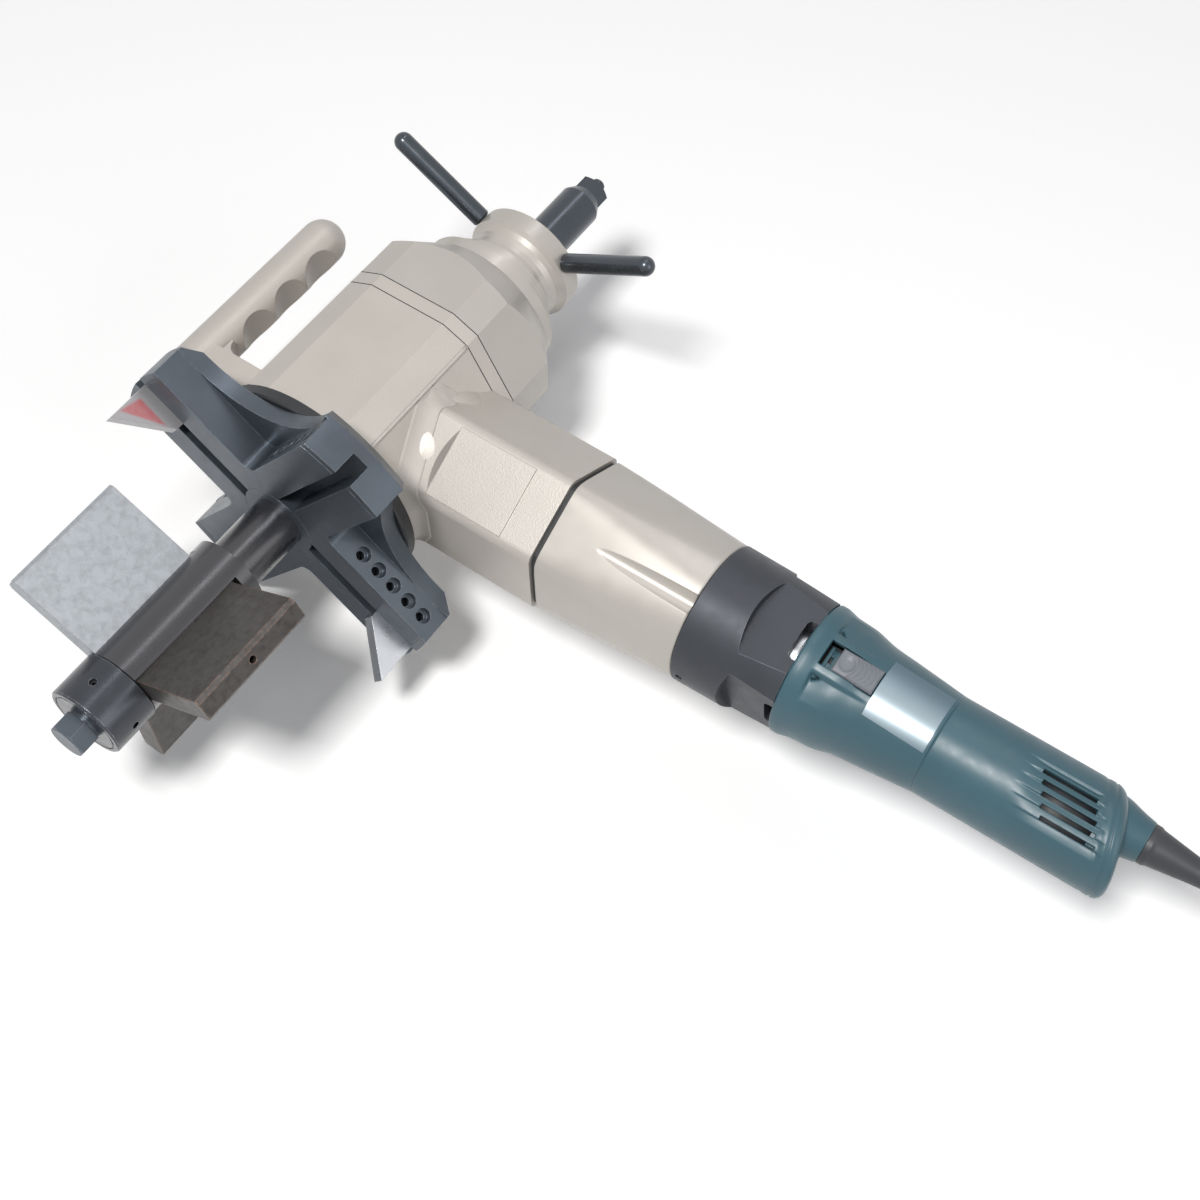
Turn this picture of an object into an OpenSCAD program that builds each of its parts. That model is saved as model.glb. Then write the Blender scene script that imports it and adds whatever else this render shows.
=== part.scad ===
// Pipe beveling machine that clamps inside a pipe: an expanding mandrel, a four-arm tool head that
// turns round it, a housing with a side handle, a feed hub with three levers and a motor arm.
// The origin is on the mandrel's axis at the middle of the clamping jaws. -Y is the front, where
// the pipe is, +X is the way the motor points and +Z is up. Stations along the mandrel are counted
// from the motor's axis towards the front, and stations along the motor from the mandrel's axis.

/* [Mandrel] */
// Radius of the jaw tube
tube_r = 26.2; // [24.5:0.1:28]
// Radius of the ground neck that the housing slides on
neck_r = 19; // [18:0.1:20]
// Radius of the draw rod
rod_r = 5; // [4:0.1:5.6]
// Radius of the front collar
collar_r = 27; // [25:0.1:30]
// Length of the front collar
collar_len = 34; // [30:0.5:40]
// Height of the hexagon on the front plug
plug_hex_h = 14; // [8:0.5:20]

/* [Jaws] */
// Length of a jaw along the mandrel
jaw_len = 87.3; // [80:0.1:90]
// Thickness of a jaw
jaw_w = 17; // [12:0.1:17.5]
// Radius of the jaws' outer faces, drawn in
jaw_r = 91.5; // [70:0.5:100]

/* [Tool head] */
// Radius of the head's rim
head_r = 126; // [118:0.5:128]
// Width of a tool slot
slot_w = 12; // [10:0.1:13]
// Depth of a tool slot
slot_depth = 17.2; // [12:0.1:18]
// How far a tool bit stands out of the front face at its tip
bit_reach = 32; // [20:0.5:36]

/* [Housing] */
// Half height of the housing's section
case_z = 73; // [70:0.5:78]
// Half width of the housing's section
case_x = 75; // [72:0.5:80]
// Radius of the side handle
handle_r = 17; // [13:0.5:18]
// Distance from the mandrel's axis to the side handle
handle_x = 132.8; // [125:0.5:140]

/* [Feed] */
// Radius of the feed hub's flange
hub_flange_r = 42.3; // [40:0.1:48]
// Radius that the lever tips reach
lever_tip_r = 127; // [100:1:150]
// Radius of a lever
lever_r = 7; // [5.5:0.1:7.2]

/* [Motor arm] */
// Distance between opposite flats of the arm
arm_flats = 98.2; // [94:0.2:104]
// Length of the arm's nose
nose_len = 103; // [100:1:120]
// Radius of the motor's barrel
barrel_r = 33.3; // [32.5:0.1:36]
// Length of the motor's barrel
barrel_len = 118; // [112:1:130]

/* [Cord] */
// Diameter of the cord
cord_d = 7.5; // [7:0.1:8]

/* [Hidden] */
$fn = 96;

// Colours, as the photograph shows them
silver = [0.80, 0.78, 0.76];
blued = [0.28, 0.31, 0.33];
dark_steel = [0.20, 0.21, 0.22];
bright_steel = [0.68, 0.69, 0.70];
worn_steel = [0.45, 0.42, 0.40];
teal = [0.24, 0.40, 0.44];
slider_grey = [0.52, 0.53, 0.55];
black = [0.10, 0.10, 0.11];
copper = [0.72, 0.45, 0.25];
bronze = [0.70, 0.55, 0.30];

// Clearances and overruns
cut = 1;
gap = 0.3;
fit = 0.06;
slide_gap = 0.1;
clear = 0.6;
thin = 2;

// Stations along the mandrel
jaw_mid_s = 208;
shoulder_s = 150.2;
neck_end_s = -178;
face_s = 102.65;
bar_back_s = 80;
rim_back_s = 77.5;
plate_back_s = 68.5;
case_front_s = 60;
seam_front_s = -46;
seam_back_s = -57;
hub_face_s = -180;
jaw_front_s = jaw_mid_s + jaw_len / 2;
jaw_back_s = jaw_mid_s - jaw_len / 2;
collar_back_s = jaw_front_s + gap;
collar_front_s = collar_back_s + collar_len;

// Expanding parts
jaw_angles = [150, 30, 270];
ramp_slope = 0.25;
ramp_len = 34;
ramp_low_r = rod_r + clear;
ramp_step = 4;
ramp_front_s = collar_back_s - ramp_step;
core_r = 16.6;
tube_bore_r = 17;
bore_back_s = 156;
slot_runout = 4.5;
slot_back_s = jaw_back_s - slot_runout;
spigot_r = 20;
spigot_len = 27;
screw_r = 2.5;
jaw_hole_depth = 14;
jaw_bevel = 2.6;
collar_screw_angles = [0, 90, 180, 270];
plug_hex_r = 14;
plug_shank_r = 9;
plug_shank_len = 12;
plug_neck_r = 11.5;
plug_neck_len = 2.4;
chamfer = 1.2;
key_w = 6;
key_angle = 180;
key_len = 30;
key_rise = 3;
keyway_front_s = 120;
keyway_back_s = -110;
washer_t = 2;
nut_r = 16;
nut_len = 60;
nut_taper_len = 7;
nut_nose_r = 12.5;
nut_hex_step = 3;
nut_hex_r = 13;
nut_hex_len = 16;
rod_tail_len = 8;
rod_back_s = hub_face_s - nut_len - nut_hex_step - nut_hex_len - rod_tail_len;

// Tool head
arm_angles = [142, 52, -38, -128];
slot_low = 1;
side_low = -24;
side_high = 37.5;
scallop_r = 77;
corner_r = 8;
rim_cone = 12;
head_bore_r = 27.9;
seat_depth = 16;
screw_shares = [0.397, 0.512, 0.623, 0.738, 0.849];
screw_alongs = head_r * screw_shares;
screw_s = 91;
set_r = 3;
set_bore_r = 5.3;
set_bore_depth = 6;
set_len = 12;
bit_len = 34;
bit_inset = 5;
bit_outer = head_r - bit_inset;
bit_inner = bit_outer - bit_len;
bit_low_rise = 5.4;
groove_inset = 6;
groove_r = head_r - groove_inset;
groove_w = 0.8;

// Spindle
sleeve_r = 36;
sleeve_bore_r = 27.9;
guide_r = 27.6;
sleeve_back_s = 20;
race_t = 4;
race_outer_r = 50;
bearing_r = 55;
bearing_w = 12;
ball_r = 4.9;
ball_count = 20;
bearing_stations = [46, 33];
crown_back_s = 31;

// Gear teeth
crown_module = 2;
crown_teeth = 48;
pinion_teeth = 16;
stage_module = 1.1;
sun_teeth = 12;
planet_teeth = 24;
ring_teeth = 60;
addendum_share = 0.8;
dedendum_share = 1.15;
tip_share = 0.2;
pitch_share = 0.36;
root_share = 0.5;
pinion_r = crown_module * pinion_teeth / 2;
crown_r = crown_module * crown_teeth / 2;
crown_face = 6;
pinion_face = 14;
carrier_arm = stage_module * (sun_teeth + planet_teeth) / 2;
pin_gear_r = 4;
sun_neck_r = 5;

// Housing
case_bore_r = 60;
case_shares = [[1, 0.192], [0.653, 0.877], [0.4, 1]];
handle_back_s = -120;
handle_front_s = 36;
foot_back_s = 20;
foot_half_z = 14;
foot_fillet_r = 9;
finger_pitch = 34;
finger_w = 32;
finger_depth = 6;
finger_mid_s = -47.5;
case_screw_r = 3;
case_screw_ring_r = 66.5;
case_screw_angles = [45, 135, 225, 315];
case_screw_head_r = 5;
case_screw_head_h = 5;
dust_r = 80;
dust_bore_r = 41;
dust_t = 8;

// Rear cover and feed hub
cone_back_s = -119;
cone_len = 46;
cone_wide_r = 95;
cone_end_r = 57;
cover_ring_radii = [55, 47.5, 42];
cover_ring_lengths = [10, 8, 7];
cover_end_s = cone_back_s - cover_ring_lengths[0] - cover_ring_lengths[1] - cover_ring_lengths[2];
stem_r = 30;
bush_r = 34;
hub_stem_s = -104;
hub_collar_r = 40;
hub_collar_len = 7;
hub_base_y = clear - cover_end_s;
hub_shares = [[0, 0.863], [0.18, 0.842], [0.29, 0.849], [0.41, 0.88], [0.5, 0.936], [0.576, 1],
  [0.96, 1], [1, 0.96]];
lever_s = -172.5;
lever_stub_r = 4.5;
lever_stub_len = 12;

// Motor arm
hex_round = 8;
corner_step = 12;
arm_start_x = 30;
root_x = 60;
root_rise = 3;
root_len = 20;
root_shares = [[0, 1], [0.3, 0.55], [0.6, 0.24], [1, 0]];
arm_end_x = 166;
pad_x0 = 82;
pad_x1 = 141;
pad_rise = 1.2;
pad_w = 49;
ring_len = 4;
ring_step = 3;
nose_x = arm_end_x + ring_len;
nose_wide_r = 55;
nose_end_r = 48;
nose_end_x = nose_x + nose_len;
shaft_r = 8;
seat_r = 24;
gear_x = 184;
gear_w = 15;
carrier_t = 6;
gear_gap = 1;
ring_out_r = 38.5;
carrier_x = gear_x - gear_gap - carrier_t;
plate_x = 150;
plate_t = 12;
sun_bearing_x = 224;
coupling_x = 256;
coupling_len = 26;
coupling_r = 11;
flute_x = 202;
flute_r = 10;
flute_depth = 4;
flute_angle = 120;

// Adapter collar
adapter_len = 71;
adapter_r = 48.5;
adapter_end_r = 45.3;
adapter_cone_x = 36;
adapter_x = nose_end_x;
adapter_end_x = adapter_x + adapter_len;
adapter_bore_r = 30;
wrench_x = 34;
wrench_flat_r = 38.5;
wrench_angles = [98, 188, 278, 8];
wrench_r = 76;
window_angles = [98, 188, 278];
window_len = 7;
window_w = 28;
window_round = 4;
neck_ring_len = 16;
pin_angle = -172;
adapter_screw_angles = [53, 143, 233, 323];
adapter_screw_ring_r = 39.5;

// Motor
motor_x = adapter_end_x;
motor_front_r = 45;
front_shares = [[0, 1], [0.045, 1], [0.14, 0.83], [0.28, 0.744], [0.45, 0.444], [0.64, 0.299],
  [0.83, 0.145], [1, 0]];
front_len = 94;
barrel_x = motor_x + front_len;
barrel_end_x = barrel_x + barrel_len;
motor_wall = 3;
switch_angle = 98;
slider_len = 28;
slider_w = 17;
slider_t = 6;
slider_r = 36;
slider_travel = 8;
slider_ridges = 5;
slider_ridge_r = 1.3;
slider_inset = 21;
slider_x = motor_x + slider_inset;
label_len = 44;
label_w = 40;
label_t = clear;
barrel_round = 12;
end_tilt = 17;
end_shares = [[0, 0], [0.12, 0.5], [0.4, 0.85], [1, 1]];
vent_inset = 72;
vent_x = barrel_x + vent_inset;
vent_len = 30;
vent_w = 3;
vent_pitch = 10;
vent_count = 5;
vent_mid_angle = 108;
motor_shaft_r = 6;
rotor_r = 17.5;
rotor_inset = 46;
rotor_x = motor_x + rotor_inset;
rotor_len = 58;
air_gap = 0.8;
commutator_step = 8;
commutator_x = rotor_x + rotor_len + commutator_step;
commutator_len = 18;
commutator_r = 11;
fan_inset = 26;
fan_x = motor_x + fan_inset;
fan_len = 10;
fan_r = 28;
fan_blades = 9;
motor_bearing_r = 13;
motor_bearing_w = 8;
motor_bearing_inset = 8;
motor_bearing_x = motor_x + motor_bearing_inset;
tail_bearing_inset = 50;
tail_bearing_x = barrel_end_x - tail_bearing_inset;

// Cord
exit_y = 12.5;
holder_r = 15.5;
holder_bore_r = 13.5;
holder_inset = 20;
holder_x = barrel_end_x - holder_inset;
holder_len = 34;
holder_step = 22;
relief_len = 58;
relief_r = 13;
relief_end_r = 4.9;
relief_shares = [[0, 1], [0.06, 1], [0.1, 0.88], [0.55, 0.42], [0.94, 0.12], [1, 0]];
relief_x = holder_x + holder_len;
floor_z = -127;
cord_r = cord_d / 2;
coil_turns = 13.25;
coil_layers = 4;
layer_turns = coil_turns / coil_layers;
climb_turns = 0.5;
coil_r = 6 * cord_d;
coil_steps = 24;
coil_sides = 6;
coil_pitch = cord_d + clear;
plug_len = 44;
plug_r = 17;
plug_shares = [[0, 0], [0.45, 0.25], [0.6, 0.8], [0.7, 1], [0.95, 1], [1, 0.9]];
pin_pitch = 19;
pin_r = 2.4;
pin_len = 19;
run_route = [[628, 12.5, 0], [642, 12.5, 0], [661, 12.5, -4], [680, 12.5, -15], [696, 12.5, -31],
  [709, 12.5, -51], [721, 12.5, -73], [735, 12.5, -94], [753, 12.5, -110], [776, 12.5, -120],
  [800, 12.5, -123.2], [819.6, 12.5, -123.25]];
coil_x = 820;
coil_y = 12.5 - coil_r - coil_pitch * layer_turns / 2;
tail_route = [[878.4, -46.3, -98.95], [878.4, -54, -98.95], [878.4, -72, -101], [878.4, -90, -106],
  [878.4, -106, -109.5], [878.4, -114, -110]];

// Places a shape that is drawn along +Z on the mandrel's axis, pointing to the front
module front(s) translate([0, jaw_mid_s - s, 0]) rotate([90, 0, 0]) children();

// Places a shape that is drawn along +Z on the motor's axis, pointing outwards
module outward(x) translate([x, jaw_mid_s, 0]) rotate([90, 0, 90]) children();

// A ring along +Z
module ring(r_out, r_in, h) difference() {
  cylinder(r = r_out, h = h);
  translate([0, 0, -cut]) cylinder(r = r_in, h = h + 2 * cut);
}

// A turned solid from stations and radii, drawn along +Z, with its first station at zero
module turned(steps, r_in = 0) {
  base = steps[0][0];
  last = len(steps) - 1;
  rotate_extrude() polygon(concat(
    [[r_in, 0]],
    [for (p = steps) [p[1], p[0] - base]],
    [[r_in, steps[last][0] - base]]));
}

// A hexagonal bar with a turned chamfer at its far end, along +Z
module hex_end(r, h, c) intersection() {
  cylinder(r = r, h = h, $fn = 6);
  turned([[0, r], [h - c, r], [h, r - 2 * c]]);
}

// Outline of a spur gear with straight-sided teeth, one of them on +X
module gear_outline(teeth, m) {
  r = m * teeth / 2;
  arc = 360 / teeth;
  polygon([for (i = [0 : teeth - 1], p = [[-root_share, -dedendum_share], [-pitch_share, 0],
    [-tip_share, addendum_share], [tip_share, addendum_share], [pitch_share, 0],
    [root_share, -dedendum_share]])
    let (a = arc * (i + p[0] / 2), q = r + p[1] * m)
    [q * cos(a), q * sin(a)]]);
}

// A ring of balls, spaced evenly
module ball_row(r, balls, radius) for (i = [0 : balls - 1])
  rotate(i * 360 / balls) translate([r, 0, 0]) sphere(r = radius, $fn = 32);

// Mandrel

module jaw_slots() for (a = jaw_angles) rotate(a)
  translate([0, -jaw_w / 2 - slide_gap, slot_back_s]) cube([tube_r + cut,
    jaw_w + 2 * slide_gap, collar_back_s - slot_back_s]);

module mandrel_tube() color(dark_steel) front(0) difference() {
  union() {
    translate([0, 0, neck_end_s]) cylinder(r = neck_r, h = shoulder_s - neck_end_s);
    translate([0, 0, shoulder_s]) cylinder(r = tube_r, h = collar_back_s - shoulder_s);
    translate([0, 0, collar_back_s]) cylinder(r = spigot_r, h = spigot_len);
  }
  translate([0, 0, neck_end_s - cut])
    cylinder(r = rod_r + fit, h = bore_back_s - neck_end_s + 2 * cut);
  translate([0, 0, bore_back_s])
    cylinder(r = tube_bore_r, h = collar_back_s + spigot_len - bore_back_s + cut);
  jaw_slots();
  rotate(key_angle) translate([-key_w / 2 - slide_gap, neck_r - key_rise - slide_gap, keyway_back_s])
    cube([key_w + 2 * slide_gap, key_rise + cut, keyway_front_s - keyway_back_s]);
}

module collar_holes(r, depth) for (a = collar_screw_angles) rotate(a)
  translate([collar_r - depth, 0, collar_len / 2]) rotate([0, 90, 0]) cylinder(r = r, h = depth + cut);

module front_collar() color(dark_steel) front(collar_back_s) difference() {
  turned([[0, collar_r - chamfer], [chamfer, collar_r], [collar_len - chamfer, collar_r],
    [collar_len, collar_r - chamfer]]);
  translate([0, 0, -cut]) cylinder(r = spigot_r, h = spigot_len + cut);
  cylinder(r = plug_shank_r, h = collar_len + cut);
  translate([0, 0, collar_len - groove_w]) ring(collar_r - 3 * chamfer, collar_r - 4 * chamfer, cut);
  collar_holes(screw_r, collar_r - spigot_r + thin);
}

module collar_screws() color(black) front(collar_back_s) for (a = collar_screw_angles) rotate(a)
  translate([spigot_r, 0, collar_len / 2]) rotate([0, 90, 0]) difference() {
    cylinder(r = screw_r, h = collar_r - spigot_r - thin);
    translate([0, 0, thin]) cylinder(r = screw_r / 2, h = collar_r, $fn = 6);
  }

module front_plug() color(blued) front(collar_front_s - plug_shank_len) {
  cylinder(r = plug_shank_r, h = plug_shank_len);
  translate([0, 0, plug_shank_len]) cylinder(r = plug_neck_r, h = plug_neck_len);
  translate([0, 0, plug_shank_len + plug_neck_len]) hex_end(plug_hex_r, plug_hex_h, chamfer);
}

module thrust_washer() color(bronze) front(neck_end_s - washer_t) ring(nut_r, rod_r + gap, washer_t);

// Draw rod and wedge

function ramp_r(s) = ramp_low_r + ramp_slope * s;

// Two ramps along the axis, as radii and stations, with an overrun past each end
function ramp_line(inner) = let (base = ramp_front_s - 2 * ramp_len, low = ramp_r(0) + inner,
  high = ramp_r(ramp_len) + inner) [[low, base - cut], [low, base], [high, base + ramp_len],
    [low, base + ramp_len], [high, base + 2 * ramp_len], [high, base + 2 * ramp_len + cut]];

// The ramps' line closed at a radius and extruded across the axis
module ramp_block(inner, closing_r) translate([0, tube_r, 0]) rotate([90, 0, 0])
  linear_extrude(2 * tube_r) polygon(concat(ramp_line(inner),
    [[closing_r, ramp_front_s + cut], [closing_r, ramp_front_s - 2 * ramp_len - cut]]));

module wedge_core() color(bright_steel) front(0) difference() {
  translate([0, 0, ramp_front_s - 2 * ramp_len]) cylinder(r = core_r, h = 2 * ramp_len);
  for (a = jaw_angles) rotate(a) ramp_block(0, 2 * tube_r);
  translate([0, 0, ramp_front_s - 2 * ramp_len - cut])
    cylinder(r = rod_r, h = 2 * ramp_len + 2 * cut);
}

module draw_rod() color(bright_steel) front(rod_back_s)
  turned([[0, rod_r - chamfer], [chamfer, rod_r], [ramp_front_s - rod_back_s, rod_r]]);

// A jaw: a plate with a stepped inner edge on the ramps, a bevelled outer edge and a screw hole
module jaw(angle, paint) color(paint) front(0) rotate(angle) difference() {
  translate([0, -jaw_w / 2, jaw_back_s]) cube([jaw_r, jaw_w, jaw_len]);
  translate([-cut, -tube_r, jaw_back_s - cut])
    cube([tube_bore_r + cut, 2 * tube_r, ramp_front_s - 2 * ramp_len - jaw_back_s + cut]);
  translate([-cut, -tube_r, ramp_front_s]) cube([tube_bore_r + cut, 2 * tube_r, collar_len]);
  ramp_block(slide_gap, -cut);
  for (side = [-1, 1]) translate([jaw_r, side * jaw_w / 2, jaw_back_s - cut]) rotate(45)
    translate([-jaw_bevel / sqrt(2), -jaw_bevel / sqrt(2), 0])
      cube([jaw_bevel * sqrt(2), jaw_bevel * sqrt(2), jaw_len + 2 * cut]);
  translate([jaw_r - jaw_hole_depth, 0, jaw_mid_s]) rotate([0, 90, 0])
    cylinder(r = screw_r, h = jaw_hole_depth + cut);
}

module jaw_1() jaw(jaw_angles[0], bright_steel);

module jaw_2() jaw(jaw_angles[1], worn_steel);

module jaw_3() jaw(jaw_angles[2], worn_steel);

module tension_nut() color(blued) front(hub_face_s) mirror([0, 0, 1]) difference() {
  union() {
    turned([[0, nut_r - chamfer], [chamfer, nut_r], [nut_len, nut_r],
      [nut_len + nut_taper_len, nut_nose_r]]);
    translate([0, 0, nut_len + nut_hex_step]) hex_end(nut_hex_r, nut_hex_len, chamfer);
  }
  translate([0, 0, -cut]) cylinder(r = rod_r + fit, h = -rod_back_s);
}

// Housing

// Twelve-sided outline of the housing
module case_outline() polygon([for (q = [[1, 1], [-1, 1], [-1, -1], [1, -1]], i = [0 : 2])
  let (p = case_shares[q[0] * q[1] > 0 ? i : 2 - i]) [q[0] * p[0] * case_x, q[1] * p[1] * case_z]]);

module case_slice(s0, s1) translate([0, 0, s0]) linear_extrude(s1 - s0) case_outline();

module case_screw_places() for (a = case_screw_angles) rotate(a) translate([case_screw_ring_r, 0, 0])
  children();

// Hexagonal arm section with its corners rounded in short flats
module arm_section() {
  corner = (arm_flats / 2 - hex_round) / cos(30);
  polygon([for (i = [0 : 5], t = [-30 : corner_step : 30]) let (a = 30 + 60 * i)
    [corner * cos(a) + hex_round * cos(a + t), corner * sin(a) + hex_round * sin(a + t)]]);
}

module handle() {
  difference() {
    translate([-handle_x, 0, handle_back_s + handle_r]) {
      cylinder(r = handle_r, h = handle_front_s - handle_back_s - handle_r);
      sphere(r = handle_r);
    }
    for (i = [-1, 0, 1]) translate([0, 0, finger_mid_s + i * finger_pitch]) rotate([90, 0, 0])
      translate([-handle_x + handle_r - finger_depth + finger_r(), 0, -handle_x / 2])
        cylinder(r = finger_r(), h = handle_x);
  }
  difference() {
    translate([-handle_x, -foot_half_z, foot_back_s - foot_fillet_r])
      cube([handle_x - case_bore_r - thin, 2 * foot_half_z,
        handle_front_s - foot_back_s + foot_fillet_r]);
    translate([-handle_x - cut, -case_z, foot_back_s - foot_fillet_r - cut])
      cube([handle_r - chamfer + cut, 2 * case_z, foot_fillet_r + cut]);
    translate([-case_x - finger_gap() / 2, case_z, foot_back_s - foot_fillet_r])
      rotate([90, 0, 0]) linear_extrude(2 * case_z) {
        translate([-finger_gap() / 2 + foot_fillet_r, 0]) circle(r = foot_fillet_r);
        translate([finger_gap() / 2 - foot_fillet_r, 0]) circle(r = foot_fillet_r);
        translate([-finger_gap() / 2, -2 * foot_fillet_r]) square([finger_gap(), 2 * foot_fillet_r]);
        translate([-finger_gap() / 2 + foot_fillet_r, -foot_fillet_r])
          square([finger_gap() - 2 * foot_fillet_r, 2 * foot_fillet_r]);
      }
  }
}

function finger_r() = (finger_w * finger_w / 4 + finger_depth * finger_depth) / (2 * finger_depth);

function finger_gap() = handle_x - handle_r - clear - case_x;

module housing_body() color(silver) difference() {
  union() {
    front(0) {
      case_slice(seam_front_s, case_front_s);
      handle();
    }
    outward(arm_start_x) {
      linear_extrude(arm_end_x - arm_start_x) arm_section();
      turned(concat([[0, arm_flats / 2 + root_rise]], [for (p = root_shares)
        [root_x - arm_start_x + p[0] * root_len, arm_flats / 2 - clear + p[1] * root_rise]]));
    }
    outward(pad_x0) rotate(flute_angle) translate([arm_flats / 2 - thin, -pad_w / 2, 0])
      cube([thin + pad_rise, pad_w, pad_x1 - pad_x0]);
  }
  front(seam_front_s - cut) cylinder(r = case_bore_r, h = bearing_stations[1] - seam_front_s + cut);
  front(-arm_flats) translate([0, -case_z, 0]) cube([case_x + gap, 2 * case_z, arm_flats + seam_front_s]);
  front(0) cylinder(r = bearing_r, h = bearing_stations[0] + bearing_w);
  front(0) cylinder(r = sleeve_r + race_t + gap, h = case_front_s + cut);
  outward(0) cylinder(r = seat_r, h = arm_end_x);
  outward(pad_x0 + thin) cylinder(r = ring_out_r, h = arm_end_x - pad_x0);
  front(case_front_s - case_screw_head_h) case_screw_places()
    cylinder(r = case_screw_head_r, h = case_screw_head_h + cut);
  front(seam_front_s - cut) case_screw_places() cylinder(r = case_screw_r, h = case_front_s - seam_front_s);
}

module flange_ring() color(silver) front(0) difference() {
  case_slice(seam_back_s, seam_front_s);
  translate([0, 0, seam_back_s - cut]) cylinder(r = guide_r, h = seam_front_s - seam_back_s + 2 * cut);
  translate([0, 0, seam_back_s - cut]) case_screw_places()
    cylinder(r = case_screw_r, h = seam_front_s - seam_back_s + 2 * cut);
}

module guide_sleeve() color(blued) front(seam_back_s) difference() {
  cylinder(r = guide_r, h = face_s - seam_back_s);
  translate([0, 0, -cut]) cylinder(r = neck_r + fit, h = face_s - seam_back_s + 2 * cut);
  rotate(key_angle) translate([-key_w / 2, 0, -seam_back_s - key_len / 2])
    cube([key_w, guide_r + cut, key_len]);
}

module guide_key() color(bright_steel) front(-key_len / 2) rotate(key_angle)
  translate([-key_w / 2, neck_r - key_rise, 0]) cube([key_w, guide_r - neck_r + key_rise - thin, key_len]);

module rear_cover() color(silver) front(0) mirror([0, 0, 1]) difference() {
  union() {
    intersection() {
      translate([0, 0, -seam_back_s]) linear_extrude(seam_back_s - cone_back_s) case_outline();
      translate([0, 0, -seam_back_s]) turned([[-seam_back_s, cone_wide_r],
        [-cone_back_s - cone_len, cone_wide_r], [-cone_back_s, cone_end_r]]);
    }
    for (i = [0 : 2]) translate([0, 0, -cone_back_s]) cylinder(r = cover_ring_radii[i], h = ring_end(i));
  }
  cylinder(r = case_bore_r, h = -hub_stem_s - thin);
  cylinder(r = hub_collar_r + gap, h = -hub_stem_s + hub_collar_len + gap);
  cylinder(r = bush_r, h = cut - cover_end_s);
  case_screw_places() cylinder(r = case_screw_r, h = -seam_back_s + 3 * case_screw_r);
}

function ring_end(i) = i < 0 ? 0 : cover_ring_lengths[i] + ring_end(i - 1);

module case_screws() color(black) front(0) case_screw_places() {
  translate([0, 0, seam_back_s - 3 * case_screw_r])
    cylinder(r = case_screw_r, h = case_front_s - seam_back_s + 3 * case_screw_r - case_screw_head_h);
  translate([0, 0, case_front_s - case_screw_head_h])
    difference() {
      cylinder(r = case_screw_head_r, h = case_screw_head_h);
      translate([0, 0, thin]) cylinder(r = case_screw_r, h = case_screw_head_h, $fn = 6);
    }
}

module spindle_bearing_outers() color(bright_steel) for (s = bearing_stations) front(s) difference() {
  ring(bearing_r, race_outer_r - race_t / 2, bearing_w);
  translate([0, 0, bearing_w / 2]) rotate_extrude() translate([ball_ring_r(), 0]) circle(r = ball_r + fit);
}

function ball_ring_r() = (sleeve_r + race_t + race_outer_r) / 2;

module spindle_bearing_balls() color(bright_steel) for (s = bearing_stations) front(s + bearing_w / 2)
  ball_row(ball_ring_r(), ball_count, ball_r);

module spindle_bearing_inners() color(bright_steel) for (s = bearing_stations) front(s) difference() {
  ring(sleeve_r + race_t + race_t / 2, sleeve_r, bearing_w);
  translate([0, 0, bearing_w / 2]) rotate_extrude() translate([ball_ring_r(), 0]) circle(r = ball_r + fit);
}

module dust_ring() color(black) front(case_front_s)
  turned([[0, dust_r], [dust_t - chamfer, dust_r], [dust_t, dust_r - chamfer]], dust_bore_r);

module hub_bush() color(bronze) front(cover_end_s) ring(bush_r, stem_r + fit,
  hub_stem_s - hub_collar_len - gap - cover_end_s);

// Motor arm

module arm_seal_ring() color(black) outward(arm_end_x) difference() {
  linear_extrude(ring_len) offset_section();
  translate([0, 0, -cut]) cylinder(r = ring_out_r, h = ring_len + 2 * cut);
}

module offset_section() scale(1 - 2 * ring_step / arm_flats) arm_section();

// Radius of the nose's cone at a station
function nose_r(x) = nose_wide_r - (nose_wide_r - nose_end_r) * (x - nose_x) / nose_len;

module arm_nose() color(silver) outward(nose_x) difference() {
  intersection() {
    linear_extrude(nose_len) arm_section();
    cylinder(r1 = nose_wide_r, r2 = nose_end_r, h = nose_len);
  }
  rotate(flute_angle) translate([arm_flats / 2 + flute_r, 0, flute_x - nose_x])
    rotate([0, -flute_tilt(), 0]) translate([0, 0, -flute_r]) cylinder(r = flute_r, h = nose_len);
  translate([0, 0, -cut]) cylinder(r = ring_out_r, h = gear_x + gear_w + carrier_t - nose_x + cut);
  translate([0, 0, -cut]) cylinder(r = seat_r, h = nose_len + 2 * cut);
  translate([0, 0, sun_bearing_x + bearing_w - nose_x])
    cylinder(r = ring_out_r - thin, h = nose_len);
}

function flute_tilt() = atan((arm_flats / 2 - nose_end_r + flute_depth) / (nose_end_x - flute_x));

module ring_gear() color(bright_steel) outward(gear_x) difference() {
  cylinder(r = ring_out_r, h = gear_w);
  translate([0, 0, -cut]) linear_extrude(gear_w + 2 * cut) internal_outline(ring_teeth, stage_module);
}

// Opening of a ring gear: its teeth point inwards, one of them on +X
module internal_outline(teeth, m) {
  r = m * teeth / 2;
  arc = 360 / teeth;
  polygon([for (i = [0 : teeth - 1], p = [[-root_share, dedendum_share], [-pitch_share, 0],
    [-tip_share, -addendum_share], [tip_share, -addendum_share], [pitch_share, 0],
    [root_share, dedendum_share]])
    let (a = arc * (i + p[0] / 2), q = r + p[1] * m)
    [q * cos(a), q * sin(a)]]);
}

module bearing_plate() color(silver) outward(plate_x) ring(ring_out_r, seat_r, plate_t);

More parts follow.
